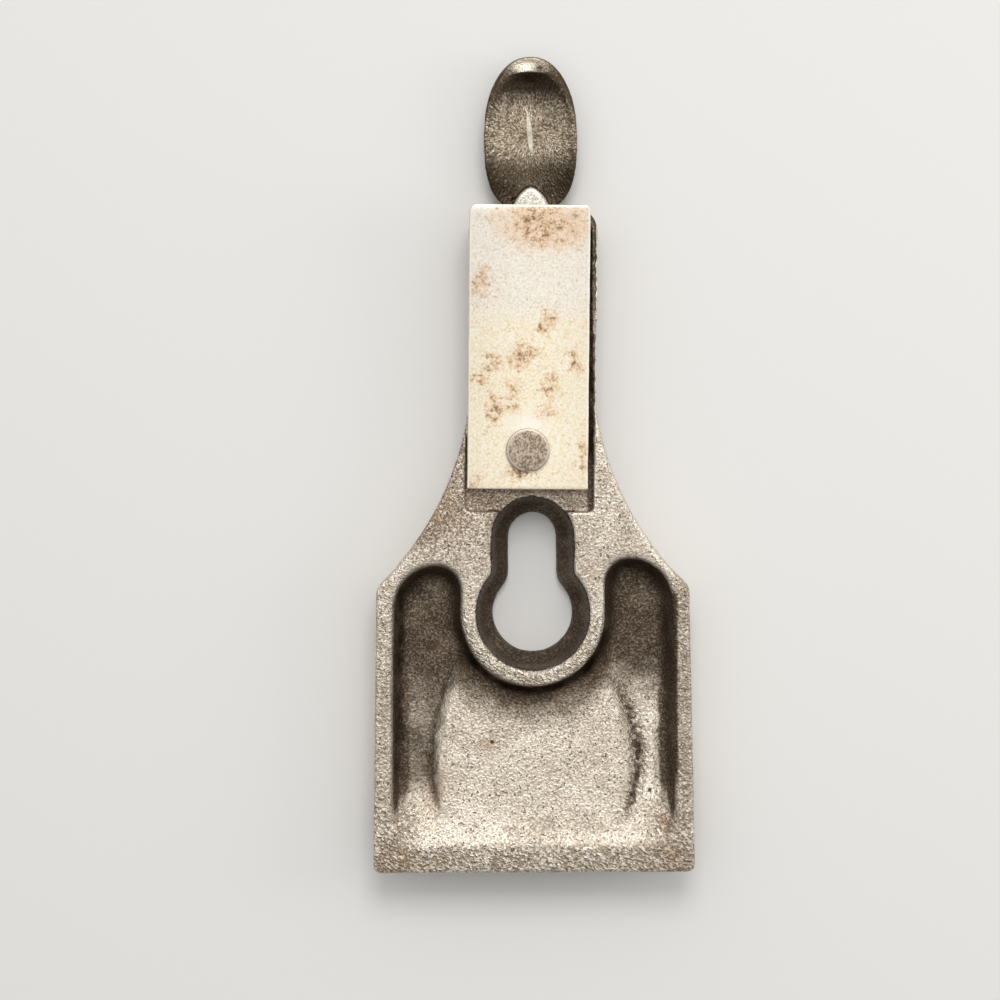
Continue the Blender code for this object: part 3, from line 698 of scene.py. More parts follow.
# %% Rivet
NICK_ANGLE = math.radians(-88.0)
NICK_HALF_ANGLE = math.radians(14.0)
NICK_DEPTH = 0.07
SHARP_RIVET = math.radians(50.0)


def turned(profile, steps):
    """Spins half a profile, given as radius and height pairs in millimetres, round Z."""
    bm = bmesh.new()
    verts = [bm.verts.new((r * MM, 0.0, h * MM)) for r, h in profile]
    edges = [bm.edges.new(pair) for pair in zip(verts, verts[1:])]
    bmesh.ops.spin(
        bm,
        geom=verts + edges,
        axis=(0, 0, 1),
        cent=(0, 0, 0),
        angle=2 * math.pi,
        steps=steps,
        use_merge=True,
    )
    bmesh.ops.remove_doubles(bm, verts=bm.verts, dist=0.002 * MM)
    bmesh.ops.recalc_face_normals(bm, faces=bm.faces)
    return bm


rivet_low, rivet_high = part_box("spring_rivet")
top = (rivet_high.z - rivet_low.z) / MM
head = (rivet_high.x - rivet_low.x) / 2 / MM
profile = [(0, top), (1.2, top - 0.01), (2.4, top - 0.03), (head - 0.42, top - 0.06)]
profile += [(head - 0.2, top - 0.09), (head - 0.07, top - 0.18), (head, top - 0.34), (head, top - 0.9)]
profile += [(2.0, top - 0.9), (2.0, 0.0), (0, 0.0)]
rivet_mesh = turned(profile, 72)
for vert in rivet_mesh.verts:
    aside = math.atan2(vert.co.y, vert.co.x) - NICK_ANGLE
    if vert.co.xy.length > (head - 0.5) * MM and abs(aside) < NICK_HALF_ANGLE:
        vert.co.xy *= 1.0 - NICK_DEPTH * (1.0 - (aside / NICK_HALF_ANGLE) ** 2)
rivet_axis = (rivet_low + rivet_high) / 2
bmesh.ops.translate(rivet_mesh, verts=rivet_mesh.verts, vec=(rivet_axis.x, rivet_axis.y, rivet_low.z))
rivet = to_object("rivet", rivet_mesh)
rivet.data.shade_smooth()
rivet.data.set_sharp_from_angle(angle=SHARP_RIVET)
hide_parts("spring_rivet")
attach(rivet, "cap")
print("rivet:", len(rivet.data.vertices), "vertices")

# %% Pin
pin_low, pin_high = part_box("cam_pin")
length = (pin_high.x - pin_low.x) / MM
radius = (pin_high.z - pin_low.z) / 2 / MM
profile = [(0, 0), (0.7, 0.03), (radius - 0.3, 0.12), (radius - 0.08, 0.25), (radius, 0.45)]
profile += [(r, length - h) for r, h in reversed(profile)]
pin_mesh = turned(profile, 48)
bmesh.ops.rotate(pin_mesh, verts=pin_mesh.verts, matrix=Matrix.Rotation(math.pi / 2, 3, "Y"))
centre = (pin_low + pin_high) / 2
bmesh.ops.translate(pin_mesh, verts=pin_mesh.verts, vec=(pin_low.x, centre.y, centre.z))
pin = to_object("pivot_pin", pin_mesh)
pin.data.shade_smooth()
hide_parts("cam_pin")
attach(pin, "cap")
print("pin:", len(pin.data.vertices), "vertices")

# %% [markdown]
# ## The cam lever
# The lever is a small casting with a hollow oval thumb pad, a hub that hides between the ears and
# a flat nose that was ground bright. The same wrapping gives it a finer skin than the body's.

# %% Cam lever
LEVER_VOXEL = 0.2 * MM
LEVER_ROUNDS = 3
LEVER_SWELL, LEVER_SWELL_SCALE = 0.03, 420.0
LEVER_PITS = (((1.4, 127.0), 0.4, 0.3), ((-2.5, 106.5), 0.6, 0.5))
TIP_FROM = 126.7
TIP_BEND = 0.06

thumb = wrapped("thumb_lever", "cam_lever", LEVER_VOXEL)
skin = bmesh.new()
skin.from_mesh(thumb.data)
ease(skin, skin.verts, LEVER_ROUNDS)
skin.normal_update()
shifts = [v.normal * noise.noise(v.co * LEVER_SWELL_SCALE) * LEVER_SWELL * MM for v in skin.verts]
for vert, shift in zip(skin.verts, shifts):
    vert.co += shift
nose_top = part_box("cam_lever")[1].z
filed = skin.verts.layers.float.new("filed")
lit_tip = skin.verts.layers.float.new("lit_tip")
bowl = skin.verts.layers.float.new("bowl")
for vert in skin.verts:
    x, d, _ = from_lip(vert.co)
    up = vert.normal.z
    vert[bowl] = smoothstep(0.0, 0.4, up)
    vert[filed] = smoothstep(nose_top - 0.5 * MM, nose_top - 0.2 * MM, vert.co.z)
    # The tip value marks the top of the crescent at the pad's tip, which the finish paints as lit.
    vert[lit_tip] = smoothstep(-0.15, 0.15, d - TIP_FROM + TIP_BEND * x * x) * smoothstep(0.1, 0.5, up)
    if up > 0.2:
        vert.co.z -= pit_depth(x, d, LEVER_PITS) * MM
store_relief(skin, "ridge")
skin.to_mesh(thumb.data)
skin.free()
thumb.data.shade_smooth()
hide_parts("cam_lever")
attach(thumb, "lever")
print("lever:", len(thumb.data.vertices), "vertices")

# %% [markdown]
# ## Building blocks for the finishes
# Three effects are node groups that put out plain masks and heights: the grain that sand leaves on
# iron, which the body and the lever share, and wear with grime and painted shade, and rust, which are on the
# body.
# The short helpers below only place nodes and link them.

# %% Node helpers
def feed(tree, socket, value):
    """Links another socket to this one, or sets it to a plain value."""
    if isinstance(value, bpy.types.NodeSocket):
        tree.links.new(value, socket)
    else:
        socket.default_value = value


def fill(tree, node, **sockets):
    """Feeds a node's sockets by name. An _ stands for a space."""
    for name, value in sockets.items():
        feed(tree, node.inputs[name.replace("_", " ")], value)


def put(tree, kind, settings=None, **sockets):
    """Adds a node with its settings and feeds its sockets."""
    node = tree.nodes.new("ShaderNode" + kind)
    for name, value in (settings or {}).items():
        setattr(node, name, value)
    fill(tree, node, **sockets)
    return node


def maths(tree, operation, *values):
    """The result of a Math node."""
    node = put(tree, "Math", {"operation": operation})
    for socket, value in zip(node.inputs, values):
        feed(tree, socket, value)
    return node.outputs[0]


def times(tree, first, second):
    """Two values multiplied."""
    return maths(tree, "MULTIPLY", first, second)


def weighed(tree, first, share, second, other):
    """The sum of two values, each times its own share."""
    return maths(tree, "ADD", times(tree, first, share), times(tree, second, other))


def largest(tree, first, *others):
    """The largest of some values."""
    for value in others:
        first = maths(tree, "MAXIMUM", first, value)
    return first


def ramp(tree, value, low, high, start=0.0, end=1.0):
    """Eases a value between two limits into the range from start to end."""
    limits = {"From_Min": low, "From_Max": high, "To_Min": start, "To_Max": end}
    node = put(tree, "MapRange", {"interpolation_type": "SMOOTHSTEP"}, Value=value, **limits)
    return node.outputs[0]


def blend_colours(tree, share, first, second):
    """Mixes two colours by a share from 0 to 1."""
    node = put(tree, "Mix", {"data_type": "RGBA"})
    for index, value in ((0, share), (6, first), (7, second)):
        feed(tree, node.inputs[index], value)
    return node.outputs[2]


def object_place(tree):
    """Where a point is on the piece, in its own coordinates."""
    return put(tree, "TexCoord").outputs["Object"]


def attribute(tree, name):
    """A value that the mesh carries on its vertices."""
    return put(tree, "Attribute", {"attribute_name": name}).outputs["Fac"]


def clouds(tree, place, scale, **sockets):
    """Noise from 0 to 1."""
    return put(tree, "TexNoise", Vector=place, Scale=scale, **sockets).outputs["Fac"]


def length_of(tree, vector):
    """How long a vector is."""
    return put(tree, "VectorMath", {"operation": "LENGTH"}, Vector=vector).outputs["Value"]


def new_group(name, inputs, outputs):
    """An empty node group with float sockets, and its input and output sockets."""
    tree = bpy.data.node_groups.new(name, "ShaderNodeTree")
    for label, value in inputs.items():
        socket = tree.interface.new_socket(label, in_out="INPUT", socket_type="NodeSocketFloat")
        socket.default_value = value
    for label in outputs:
        tree.interface.new_socket(label, in_out="OUTPUT", socket_type="NodeSocketFloat")
    return tree, tree.nodes.new("NodeGroupInput").outputs, tree.nodes.new("NodeGroupOutput").inputs


def use(tree, group, **sockets):
    """Places a node group in a material and returns its outputs."""
    return put(tree, "Group", {"node_tree": group}, **sockets).outputs


# %% Grain of a sand casting
FOLD_SLANT = math.radians(-35.0)
FOLD_STRETCH = (1.4, 1.0, 1.0)
FINE, BROAD, SUNK, FOLDED = 2700.0, 150.0, 2300.0, 2300.0

grain, given, out = new_group(
    "sand_grain", {"Scale": 1.0}, ["Height", "Speckle", "Mottle", "Pits", "Crumple"]
)
spot = object_place(grain)
fine_scale, broad_scale, sunk_scale, fold_scale = (
    times(grain, given["Scale"], size) for size in (FINE, BROAD, SUNK, FOLDED)
)
fine = clouds(grain, spot, fine_scale, Detail=2.5, Roughness=0.55)
broad = clouds(grain, spot, broad_scale, Detail=4.0, Roughness=0.6)
sunk = clouds(grain, spot, sunk_scale, Detail=2.0, Roughness=0.6)
pits = ramp(grain, sunk, 0.40, 0.29)
slant = {"Rotation": (0.0, 0.0, FOLD_SLANT), "Scale": FOLD_STRETCH}
slanted = put(grain, "Mapping", {"vector_type": "TEXTURE"}, Vector=spot, **slant).outputs[0]
folded = clouds(grain, slanted, fold_scale, Detail=2.0, Roughness=0.5, Distortion=0.4)
feed(grain, out["Height"], maths(grain, "SUBTRACT", fine, times(grain, pits, 0.5)))
feed(grain, out["Speckle"], ramp(grain, fine, 0.34, 0.66))
feed(grain, out["Mottle"], ramp(grain, broad, 0.3, 0.7))
feed(grain, out["Pits"], pits)
feed(grain, out["Crumple"], ramp(grain, folded, 0.32, 0.66))
print("group:", grain.name)

# %% Wear on ridges, grime and painted shade in hollows
wear_grime_shade, given, out = new_group(
    "wear_grime_and_shade", {"Ridge From": 0.01, "Ridge To": 0.06}, ["Wear", "Grime And Shade", "Deep Shade"]
)
spot = object_place(wear_grime_shade)
patchy = clouds(wear_grime_shade, spot, 700.0, Detail=3.0)
cloudy = clouds(wear_grime_shade, spot, 280.0, Detail=4.0, Roughness=0.6)
# The vertex value holds grime and painted shade; past 1 it gives the black painted shadow.
dirt_and_shade = attribute(wear_grime_shade, "grime_and_shade")
shaken = times(wear_grime_shade, attribute(wear_grime_shade, "ridge"), maths(wear_grime_shade, "ADD", patchy, 0.5))
broken = maths(wear_grime_shade, "ADD", dirt_and_shade, times(wear_grime_shade, maths(wear_grime_shade, "SUBTRACT", cloudy, 0.5), 0.7))
broken = times(wear_grime_shade, broken, ramp(wear_grime_shade, dirt_and_shade, 0.0, 0.12))
feed(wear_grime_shade, out["Wear"], ramp(wear_grime_shade, shaken, given["Ridge From"], given["Ridge To"]))
feed(wear_grime_shade, out["Grime And Shade"], ramp(wear_grime_shade, broken, 0.08, 0.85))
feed(wear_grime_shade, out["Deep Shade"], ramp(wear_grime_shade, broken, 1.0, 1.35))
print("group:", wear_grime_shade.name)

# %% Rust
RUST_SCALE = 260.0

rust, given, out = new_group("rust_bloom", {"Scale": 1.0, "Start": 0.55, "Soft": 0.1}, ["Rust"])
rust_scale = times(rust, given["Scale"], RUST_SCALE)
bloom = clouds(rust, object_place(rust), rust_scale, Detail=6.0, Roughness=0.68, Distortion=0.4)
full = maths(rust, "ADD", given["Start"], given["Soft"])
feed(rust, out["Rust"], ramp(rust, bloom, given["Start"], full))
print("group:", rust.name)


# %% Material helpers
def shader(name):
    """A new material, its tree and its Principled node."""
    material = bpy.data.materials.new(name)
    material.use_nodes = True
    return material, material.node_tree, material.node_tree.nodes["Principled BSDF"]


def bumped(tree, surface, height, strength, depth):
    """Feeds a height into the surface's normal."""
    bump = put(tree, "Bump", Height=height, Strength=strength, Distance=depth)
    feed(tree, surface.inputs["Normal"], bump.outputs[0])


def patch(tree, spot, centre, half_size, turn=0.0):
    """A soft oval mask round a place, in millimetres across and along from the lip."""
    oval = {
        "Location": (centre[0] * MM, LIP + centre[1] * MM, 0.0),
        "Rotation": (0.0, 0.0, turn),
        "Scale": (half_size[0] * MM, half_size[1] * MM, 1.0),
    }
    local = put(tree, "Mapping", {"vector_type": "TEXTURE"}, Vector=spot, **oval).outputs[0]
    return ramp(tree, length_of(tree, local), 1.0, 0.0)


def finish_with(material, *pieces):
    """Gives pieces a material of their own in place of what they had."""
    for piece in pieces:
        piece.data.materials.clear()
        piece.data.materials.append(material)
    print("finish:", material.name, "on", [piece.name for piece in pieces])


# %% [markdown]
# ## Finish of the cast body
# Bare iron, warm grey with a brown cast. The sand grain breaks up colour, gloss and height at
# once, and slanted folds crumple the rails, the lip and the boss. Grime and painted shade darken
# the kidney hollows and the keyhole, worn ridges are brighter, the right-hand rims carry a painted
# highlight, and a few spots carry a little rust.

# %% Cast iron
IRON_DARK = (0.415, 0.345, 0.265, 1.0)
IRON_PALE = (0.81, 0.735, 0.63, 1.0)
IRON_WORN = (0.90, 0.83, 0.72, 1.0)
IRON_BROWN = (0.26, 0.195, 0.14, 1.0)
IRON_FOLD = (0.26, 0.172, 0.085, 1.0)
IRON_PIT = (0.11, 0.085, 0.06, 1.0)

cast_iron, tree, surface = shader("cast_iron")
spot = object_place(tree)
outer = attribute(tree, "ground")
crumpled = attribute(tree, "coarse")
sand = use(tree, grain, Scale=1.0)
worn_and_shaded = use(tree, wear_grime_shade, Ridge_From=0.012, Ridge_To=0.05)
bloom = use(tree, rust, Scale=1.4, Start=0.38, Soft=0.2)
tone = weighed(tree, sand["Speckle"], 0.6, sand["Mottle"], 0.4)
colour = blend_colours(tree, tone, IRON_DARK, IRON_PALE)
colour = blend_colours(tree, times(tree, worn_and_shaded["Wear"], 0.6), colour, IRON_WORN)
folds = times(tree, crumpled, ramp(tree, sand["Crumple"], 0.75, 0.1, 0.0, 0.8))
colour = blend_colours(tree, folds, colour, IRON_FOLD)
tops = times(tree, crumpled, ramp(tree, sand["Crumple"], 0.45, 0.95, 0.0, 0.7))
colour = blend_colours(tree, tops, colour, IRON_WORN)
tinted = times(tree, attribute(tree, "brown"), ramp(tree, tone, 0.1, 0.9, 1.2, 0.35))
colour = blend_colours(tree, tinted, colour, IRON_BROWN)
colour = blend_colours(tree, times(tree, sand["Pits"], 0.75), colour, IRON_PIT)
print("cast iron: bare colour ready")

# %% Rust, grime with painted shade, and the ground face of the body
IRON_GROUND = (0.60, 0.58, 0.54, 1.0)
# Colours of grime with painted shade, and the black of the painted shadow:
GRIME_SHADE_BROWN = (0.07, 0.044, 0.024, 1.0)
GRIME_SHADE_PALE = (0.19, 0.138, 0.092, 1.0)
BLACK_SHADE = (0.018, 0.011, 0.006, 1.0)
RUST_BROWN = (0.31, 0.19, 0.105, 1.0)
RUST_SPOTS = (
    ((-16.3, 13.0), (3.6, 7.0)),
    ((-6.6, 20.4), (3.0, 2.6)),
    ((-22.0, 2.4), (6.0, 4.0)),
    ((22.0, 2.6), (7.0, 4.0)),
    ((21.0, 8.0), (3.0, 3.0)),
    ((2.0, 60.0), (4.0, 2.0)),
    ((-14.0, 57.0), (4.0, 5.0)),
)

rusty = largest(tree, *(patch(tree, spot, *place) for place in RUST_SPOTS))
rusty = times(tree, times(tree, rusty, bloom["Rust"]), maths(tree, "SUBTRACT", 1.0, outer))
colour = blend_colours(tree, times(tree, rusty, 0.7), colour, RUST_BROWN)
# Grime and painted shade darken the hollows towards a grime brown; past that, a black painted shadow.
cloud = weighed(tree, sand["Mottle"], 0.75, tone, 0.25)
grime_shade_colour = blend_colours(tree, ramp(tree, cloud, 0.42, 0.95, 0.0, 0.6), GRIME_SHADE_BROWN, GRIME_SHADE_PALE)
grime_shade_cover = times(tree, worn_and_shaded["Grime And Shade"], ramp(tree, sand["Speckle"], 0.4, 1.0, 0.99, 0.86))
colour = blend_colours(tree, grime_shade_cover, colour, grime_shade_colour)
colour = blend_colours(tree, worn_and_shaded["Deep Shade"], colour, BLACK_SHADE)
tarnish = ramp(tree, sand["Mottle"], 0.2, 0.9, 0.0, 0.35)
polish = blend_colours(tree, tarnish, IRON_GROUND, IRON_BROWN)
colour = blend_colours(tree, times(tree, outer, 0.9), colour, polish)
gloss = ramp(tree, sand["Speckle"], 0.0, 1.0, 0.52, 0.38)
gloss = maths(tree, "ADD", gloss, times(tree, worn_and_shaded["Grime And Shade"], 0.04))
gloss = maths(tree, "SUBTRACT", gloss, times(tree, outer, 0.12))
metal = ramp(tree, worn_and_shaded["Grime And Shade"], 0.0, 1.0, 0.9, 0.65)
metal = maths(tree, "ADD", metal, times(tree, worn_and_shaded["Deep Shade"], 0.3))
fill(tree, surface, Base_Color=colour, Roughness=gloss, Metallic=metal)
print("rust spots:", len(RUST_SPOTS))

# %% Relief of the body's skin
SCRATCH_SCALE = (3000.0, 60.0, 900.0)
CAST_BUMP = 0.15 * MM

stretched = put(tree, "Mapping", Vector=spot, Scale=SCRATCH_SCALE).outputs[0]
scratch = clouds(tree, stretched, 1.0, Detail=3.0)
relief = times(tree, sand["Height"], ramp(tree, outer, 0.0, 1.0, 1.0, 0.08))
relief = times(tree, relief, ramp(tree, worn_and_shaded["Grime And Shade"], 0.0, 0.8, 1.0, 1.5))
relief = maths(tree, "ADD", relief, times(tree, times(tree, crumpled, sand["Crumple"]), 1.3))
relief = maths(tree, "ADD", relief, times(tree, times(tree, outer, scratch), 0.2))
bumped(tree, surface, relief, 1.0, CAST_BUMP)
finish_with(cast_iron, casting)

# %% [markdown]
# ## Finish of the spring
# Ground steel, pale and creamy towards the rivet, cooler at the free end. Rust stains are small
# ovals torn up by noise, with a blush at the free end and a clean halo round the rivet. Fine lines
# from the grinding run along the strip, and its edges are rubbed white.

# %% Spring steel
STEEL_PALE = (0.80, 0.69, 0.47, 1.0)
STEEL_COOL = (0.74, 0.68, 0.60, 1.0)
STEEL_WHITE = (0.90, 0.85, 0.75, 1.0)
WARM_FROM, WARM_TO = LIP + 94 * MM, LIP + 82 * MM
GRINDING_SCALE = (2200.0, 90.0, 400.0)

spring_steel, tree, surface = shader("spring_steel")
spot = object_place(tree)
along = put(tree, "SeparateXYZ", Vector=spot).outputs["Y"]
cloud = clouds(tree, spot, 110.0, Detail=4.0, Roughness=0.6)
fleck = clouds(tree, spot, 2600.0, Detail=3.0, Roughness=0.6)
blot = clouds(tree, spot, 850.0, Detail=6.0, Roughness=0.72)
stretched = put(tree, "Mapping", Vector=spot, Scale=GRINDING_SCALE).outputs[0]
lines = clouds(tree, stretched, 1.0, Detail=2.0)
warm = ramp(tree, along, WARM_FROM, WARM_TO)
warm = maths(tree, "ADD", warm, maths(tree, "SUBTRACT", cloud, 0.5))
colour = blend_colours(tree, ramp(tree, warm, 0.1, 0.9), STEEL_COOL, STEEL_PALE)
colour = blend_colours(tree, ramp(tree, fleck, 0.66, 0.34, 0.0, 0.9), colour, STEEL_WHITE)
print("spring steel: bare colour ready")

# %% Where the spring is stained
STAIN_SHAKE = 7.0 * MM
RIVET_HALO = ((-0.7, 70.4), (5.6, 3.4))
RIVET_SMUT = ((-2.0, 63.0), (4.2, 2.4))
FREE_END_STAIN = ((1.9, 102.0), (12.0, 7.5))
STAINS = (
    ((-8.0, 93.0), (4.0, 5.0)),
    ((2.4, 86.5), (2.2, 3.0)),
    ((-1.4, 81.1), (4.5, 3.6)),
    ((-5.8, 80.5), (2.4, 3.6)),
    ((7.1, 80.0), (2.2, 3.4)),
    ((-8.2, 77.6), (3.4, 3.0)),
    ((2.9, 76.6), (2.8, 4.6)),
    ((-3.1, 74.8), (2.8, 5.0)),
    ((-6.0, 72.6), (2.2, 5.0)),
    ((2.4, 72.6), (2.6, 3.6)),
    ((8.6, 65.8), (2.2, 6.0)),
    ((-9.6, 61.2), (3.0, 2.4)),
)

ragged = put(tree, "TexNoise", Vector=spot, Scale=420.0, Detail=4.0, Roughness=0.65).outputs["Color"]
centred = put(tree, "VectorMath", {"operation": "SUBTRACT"}, Vector=ragged)
centred.inputs[1].default_value = (0.5, 0.5, 0.5)
shaken = put(tree, "VectorMath", {"operation": "MULTIPLY_ADD"}, Vector=centred.outputs[0])
shaken.inputs[1].default_value = (STAIN_SHAKE, STAIN_SHAKE, 0.0)
feed(tree, shaken.inputs[2], spot)
broad = patch(tree, shaken.outputs[0], *FREE_END_STAIN)
stained = largest(tree, broad, *(patch(tree, shaken.outputs[0], *place) for place in STAINS))
halo = patch(tree, spot, *RIVET_HALO)
patchy = weighed(tree, blot, 0.7, fleck, 0.3)
patchy = maths(tree, "ADD", times(tree, stained, 0.17), patchy)
patchy = maths(tree, "ADD", patchy, times(tree, patch(tree, spot, *RIVET_SMUT), 0.2))
patchy = maths(tree, "SUBTRACT", patchy, times(tree, halo, 0.2))
print("stains:", len(STAINS) + 1)

# %% Stains, rubbed edges and grinding lines of the spring
STEEL_SPECK = (0.30, 0.27, 0.22, 1.0)
STAIN_BLUSH = (0.76, 0.54, 0.36, 1.0)
STAIN = (0.60, 0.38, 0.20, 1.0)
STAIN_DARK = (0.20, 0.125, 0.07, 1.0)
RUB_FROM, RUB_TO = 0.5 * MM, 0.2 * MM
SPRING_BUMP = 0.03 * MM

colour = blend_colours(tree, times(tree, halo, 0.8), colour, STEEL_WHITE)
blush = largest(
    tree, ramp(tree, broad, 0.05, 0.6, 0.0, 0.5), ramp(tree, stained, 0.1, 0.8, 0.0, 0.25)
)
colour = blend_colours(tree, blush, colour, STAIN_BLUSH)
colour = blend_colours(tree, ramp(tree, patchy, 0.52, 0.72, 0.0, 0.75), colour, STAIN)
colour = blend_colours(tree, ramp(tree, patchy, 0.65, 0.75, 0.0, 0.75), colour, STAIN_DARK)
colour = blend_colours(tree, ramp(tree, fleck, 0.66, 0.74, 0.0, 0.5), colour, STEEL_SPECK)
lie = {"Location": SPRING_PIVOT, "Rotation": (0, 0, SPRING_SKEW)}
flush = put(tree, "Mapping", {"vector_type": "TEXTURE"}, Vector=spot, **lie).outputs[0]
flush = put(tree, "SeparateXYZ", Vector=flush).outputs
half = SPRING_SIZE.x / 2
sides = ramp(tree, maths(tree, "ABSOLUTE", flush["X"]), half - RUB_FROM, half - RUB_TO)
ends = ramp(tree, flush["Y"], reach - RUB_FROM, reach - RUB_TO)
colour = blend_colours(tree, times(tree, largest(tree, sides, ends), 0.7), colour, STEEL_WHITE)
gloss = ramp(tree, patchy, 0.5, 0.75, 0.36, 0.62)
fill(tree, surface, Base_Color=colour, Roughness=gloss, Metallic=0.8)
bumped(tree, surface, maths(tree, "ADD", times(tree, lines, 0.4), fleck), 0.35, SPRING_BUMP)
finish_with(spring_steel, spring)

# %% [markdown]
# ## Finish of the rivet and the pin
# Both are soft steel gone dull. The rivet's face shows mottled grey-brown, and its rolled edge is
# rubbed bright.

# %% Dull steel
DULL_DARK = (0.19, 0.14, 0.095, 1.0)
DULL_PALE = (0.57, 0.475, 0.37, 1.0)
DULL_RUBBED = (0.74, 0.67, 0.56, 1.0)
BRUSHED_SCALE = (2900.0, 1900.0, 1900.0)
DULL_BUMP = 0.02 * MM

dull_steel, tree, surface = shader("dull_steel")
spot = object_place(tree)
brushed = put(tree, "Mapping", Vector=spot, Scale=BRUSHED_SCALE).outputs[0]
blotch = clouds(tree, brushed, 1.0, Detail=4.0, Roughness=0.7)
fleck = clouds(tree, spot, 2600.0, Detail=2.0)
tone = ramp(tree, weighed(tree, blotch, 0.6, fleck, 0.4), 0.40, 0.60)
colour = blend_colours(tree, tone, DULL_DARK, DULL_PALE)
flat_place = {"Location": (-rivet_axis.x, -rivet_axis.y, 0.0), "Scale": (1.0, 1.0, 0.0)}
from_axis = length_of(tree, put(tree, "Mapping", Vector=spot, **flat_place).outputs[0])
rubbed = times(
    tree,
    ramp(tree, from_axis, (head - 0.5) * MM, (head - 0.3) * MM),
    ramp(tree, from_axis, (head + 0.1) * MM, head * MM),
)
colour = blend_colours(tree, times(tree, rubbed, 0.75), colour, DULL_RUBBED)
gloss = ramp(tree, blotch, 0.3, 0.7, 0.42, 0.6)
fill(tree, surface, Base_Color=colour, Roughness=gloss, Metallic=0.7)
bumped(tree, surface, tone, 0.25, DULL_BUMP)
finish_with(dull_steel, rivet, pin)

# %% [markdown]
# ## Finish of the cam lever
# Dark brown iron. Inside the pad, flow lines run outward from the middle like fine wrinkles, so
# their noise is stretched along the radius. Painted shade darkens the pad's wall under the tip, its
# low end by the hub, its hollows and its back, so the middle stays pale; painted glints and one
# painted highlight streak lie on it. The nose is ground bright, and the tip is painted as lit.

# %% Lever iron
LEVER_DARK = (0.22, 0.168, 0.112, 1.0)
LEVER_PALE = (0.85, 0.725, 0.56, 1.0)
PAD_MIDDLE = Vector((0.0, LIP + 117.0 * MM, 0.0))
RAYS = 34.0
RAY_BREAKS = 1100.0
RAY_RISE = 300.0
LEATHER = 2700.0

lever_iron, tree, surface = shader("lever_iron")
spot = object_place(tree)
moved = put(tree, "Mapping", {"vector_type": "POINT"}, Vector=spot, Location=-PAD_MIDDLE).outputs[0]
parts = put(tree, "SeparateXYZ", Vector=moved).outputs
angle = maths(tree, "ARCTAN2", parts["X"], parts["Y"])
square_x, square_y = (maths(tree, "POWER", parts[axis], 2.0) for axis in "XY")
away = maths(tree, "SQRT", maths(tree, "ADD", square_x, square_y))
polar = put(
    tree,
    "CombineXYZ",
    X=times(tree, angle, RAYS),
    Y=times(tree, away, RAY_BREAKS),
    Z=times(tree, parts["Z"], RAY_RISE),
).outputs[0]
rays = clouds(tree, polar, 1.0, Detail=2.0, Roughness=0.5, Distortion=0.5)
leather = clouds(tree, spot, LEATHER, Detail=2.0, Roughness=0.5, Distortion=0.6)
wrinkle = weighed(tree, rays, 0.5, leather, 0.5)
colour = blend_colours(tree, ramp(tree, wrinkle, 0.41, 0.62), LEVER_DARK, LEVER_PALE)
print("lever: wrinkles ready")

# %% Painted shade, glints and highlight streak of the pad
LEVER_SHADE_BROWN = (0.08, 0.057, 0.036, 1.0)
LEVER_HIGHLIGHT = (0.95, 0.88, 0.74, 1.0)
PAD_LIT_MIDDLE = ((0.0, 116.8), (9.2, 9.6))
PAD_STREAK_HIGHLIGHT = ((-0.1, 117.3), (0.6, 4.2), math.radians(5.0))

inside = attribute(tree, "bowl")
middle = maths(tree, "ADD", patch(tree, spot, *PAD_LIT_MIDDLE), times(tree, wrinkle, 0.3))
# Painted shade: the wall under the tip, the low end by the hub, the skin's hollows, the pad's back and all
# outside the lit middle go towards a shade brown.
shaded = largest(
    tree,
    ramp(tree, middle, 0.5, 0.15),
    ramp(tree, parts["Y"], -1.0 * MM, -6.0 * MM, 0.0, 0.93),
    ramp(tree, attribute(tree, "ridge"), -0.02, -0.08),
    ramp(tree, parts["Y"], 2.6 * MM, 7.8 * MM, 0.0, 0.95),
    ramp(tree, inside, 1.0, 0.0, 0.0, 0.75),
)
colour = blend_colours(tree, shaded, colour, LEVER_SHADE_BROWN)
# Painted glints: pale strokes on the wrinkle tops, fewer where the painted shade lies.
glint = times(tree, ramp(tree, wrinkle, 0.58, 0.66), ramp(tree, shaded, 0.0, 1.0, 0.75, 0.15))
colour = blend_colours(tree, glint, colour, LEVER_HIGHLIGHT)
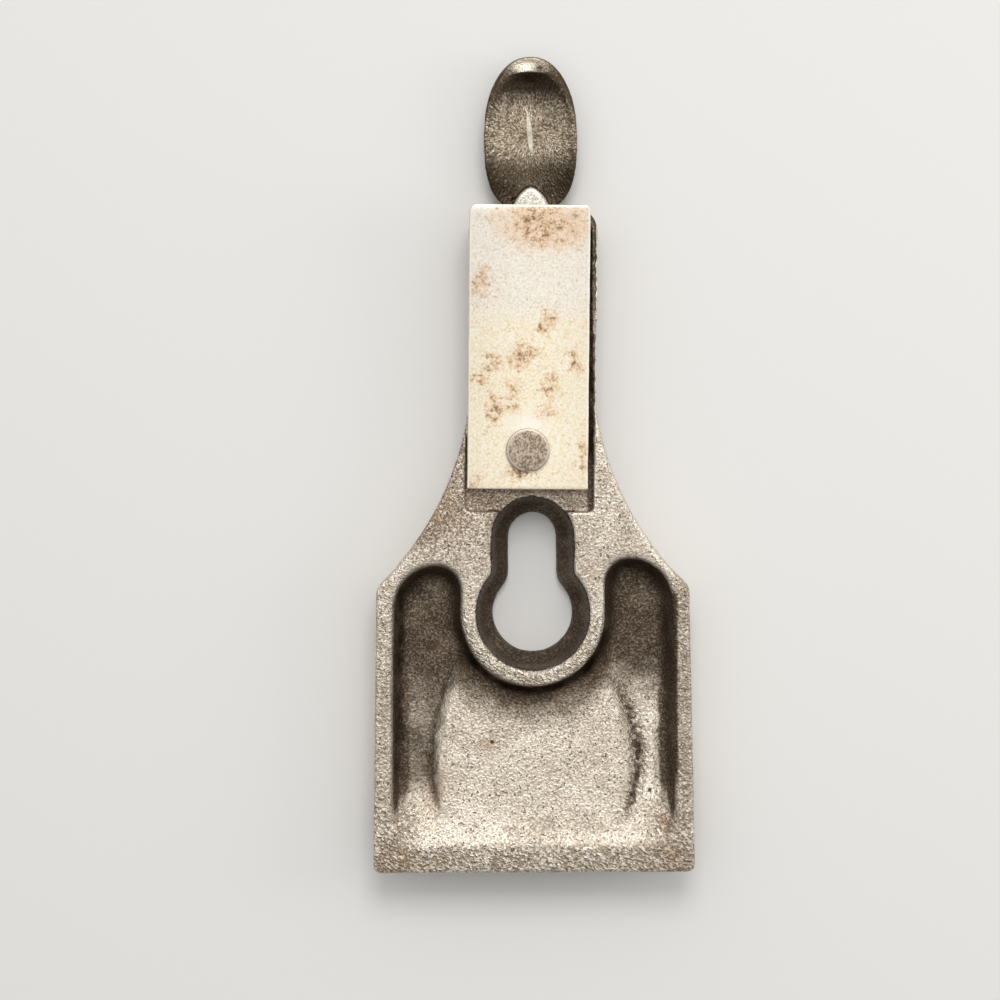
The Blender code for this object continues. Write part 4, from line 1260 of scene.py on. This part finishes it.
# Painted highlight: one bright streak down the middle of the bowl, made less metallic further on so that it
# stays white.
streak_highlight = ramp(tree, patch(tree, spot, *PAD_STREAK_HIGHLIGHT), 0.0, 0.45)
streak_highlight = times(tree, times(tree, streak_highlight, ramp(tree, wrinkle, 0.27, 0.42)), inside)
colour = blend_colours(tree, streak_highlight, colour, LEVER_HIGHLIGHT)
print("lever: pad shaded")

# %% Painted light on the tip, and the ground nose of the lever
LEVER_TIP_LIT = (0.30, 0.255, 0.20, 1.0)
NOSE_DULL = (0.37, 0.34, 0.295, 1.0)
NOSE_PALE = (0.66, 0.62, 0.545, 1.0)
PAD_TIP_HIGHLIGHT = ((-0.8, 127.2), (2.6, 1.3))
PAD_CRESCENT = ((-0.3, 128.0), (5.6, 4.6))
LEVER_BUMP = 0.28 * MM

sand = use(tree, grain, Scale=1.4)
# Painted light: the crescent at the tip is coloured as lit, with a painted highlight in its middle.
lit_tip = times(tree, attribute(tree, "lit_tip"), patch(tree, spot, *PAD_CRESCENT))
lit_tip = times(tree, lit_tip, ramp(tree, wrinkle, 0.35, 0.65, 0.75, 1.1))
colour = blend_colours(tree, lit_tip, colour, LEVER_TIP_LIT)
colour = blend_colours(tree, times(tree, lit_tip, patch(tree, spot, *PAD_TIP_HIGHLIGHT)), colour, LEVER_HIGHLIGHT)
filed = attribute(tree, "filed")
nose = blend_colours(tree, sand["Speckle"], NOSE_DULL, NOSE_PALE)
colour = blend_colours(tree, filed, colour, nose)
metal = ramp(tree, streak_highlight, 0.0, 1.0, 0.9, 0.25)
fill(tree, surface, Base_Color=colour, Roughness=0.34, Metallic=metal)
height = maths(tree, "ADD", wrinkle, times(tree, sand["Height"], 0.35))
smooth = largest(tree, filed, times(tree, lit_tip, 0.8), ramp(tree, inside, 1.0, 0.0, 0.0, 0.6))
rough = times(tree, height, ramp(tree, smooth, 0.0, 1.0, 1.0, 0.2))
bumped(tree, surface, rough, 1.0, LEVER_BUMP)
finish_with(lever_iron, thumb)
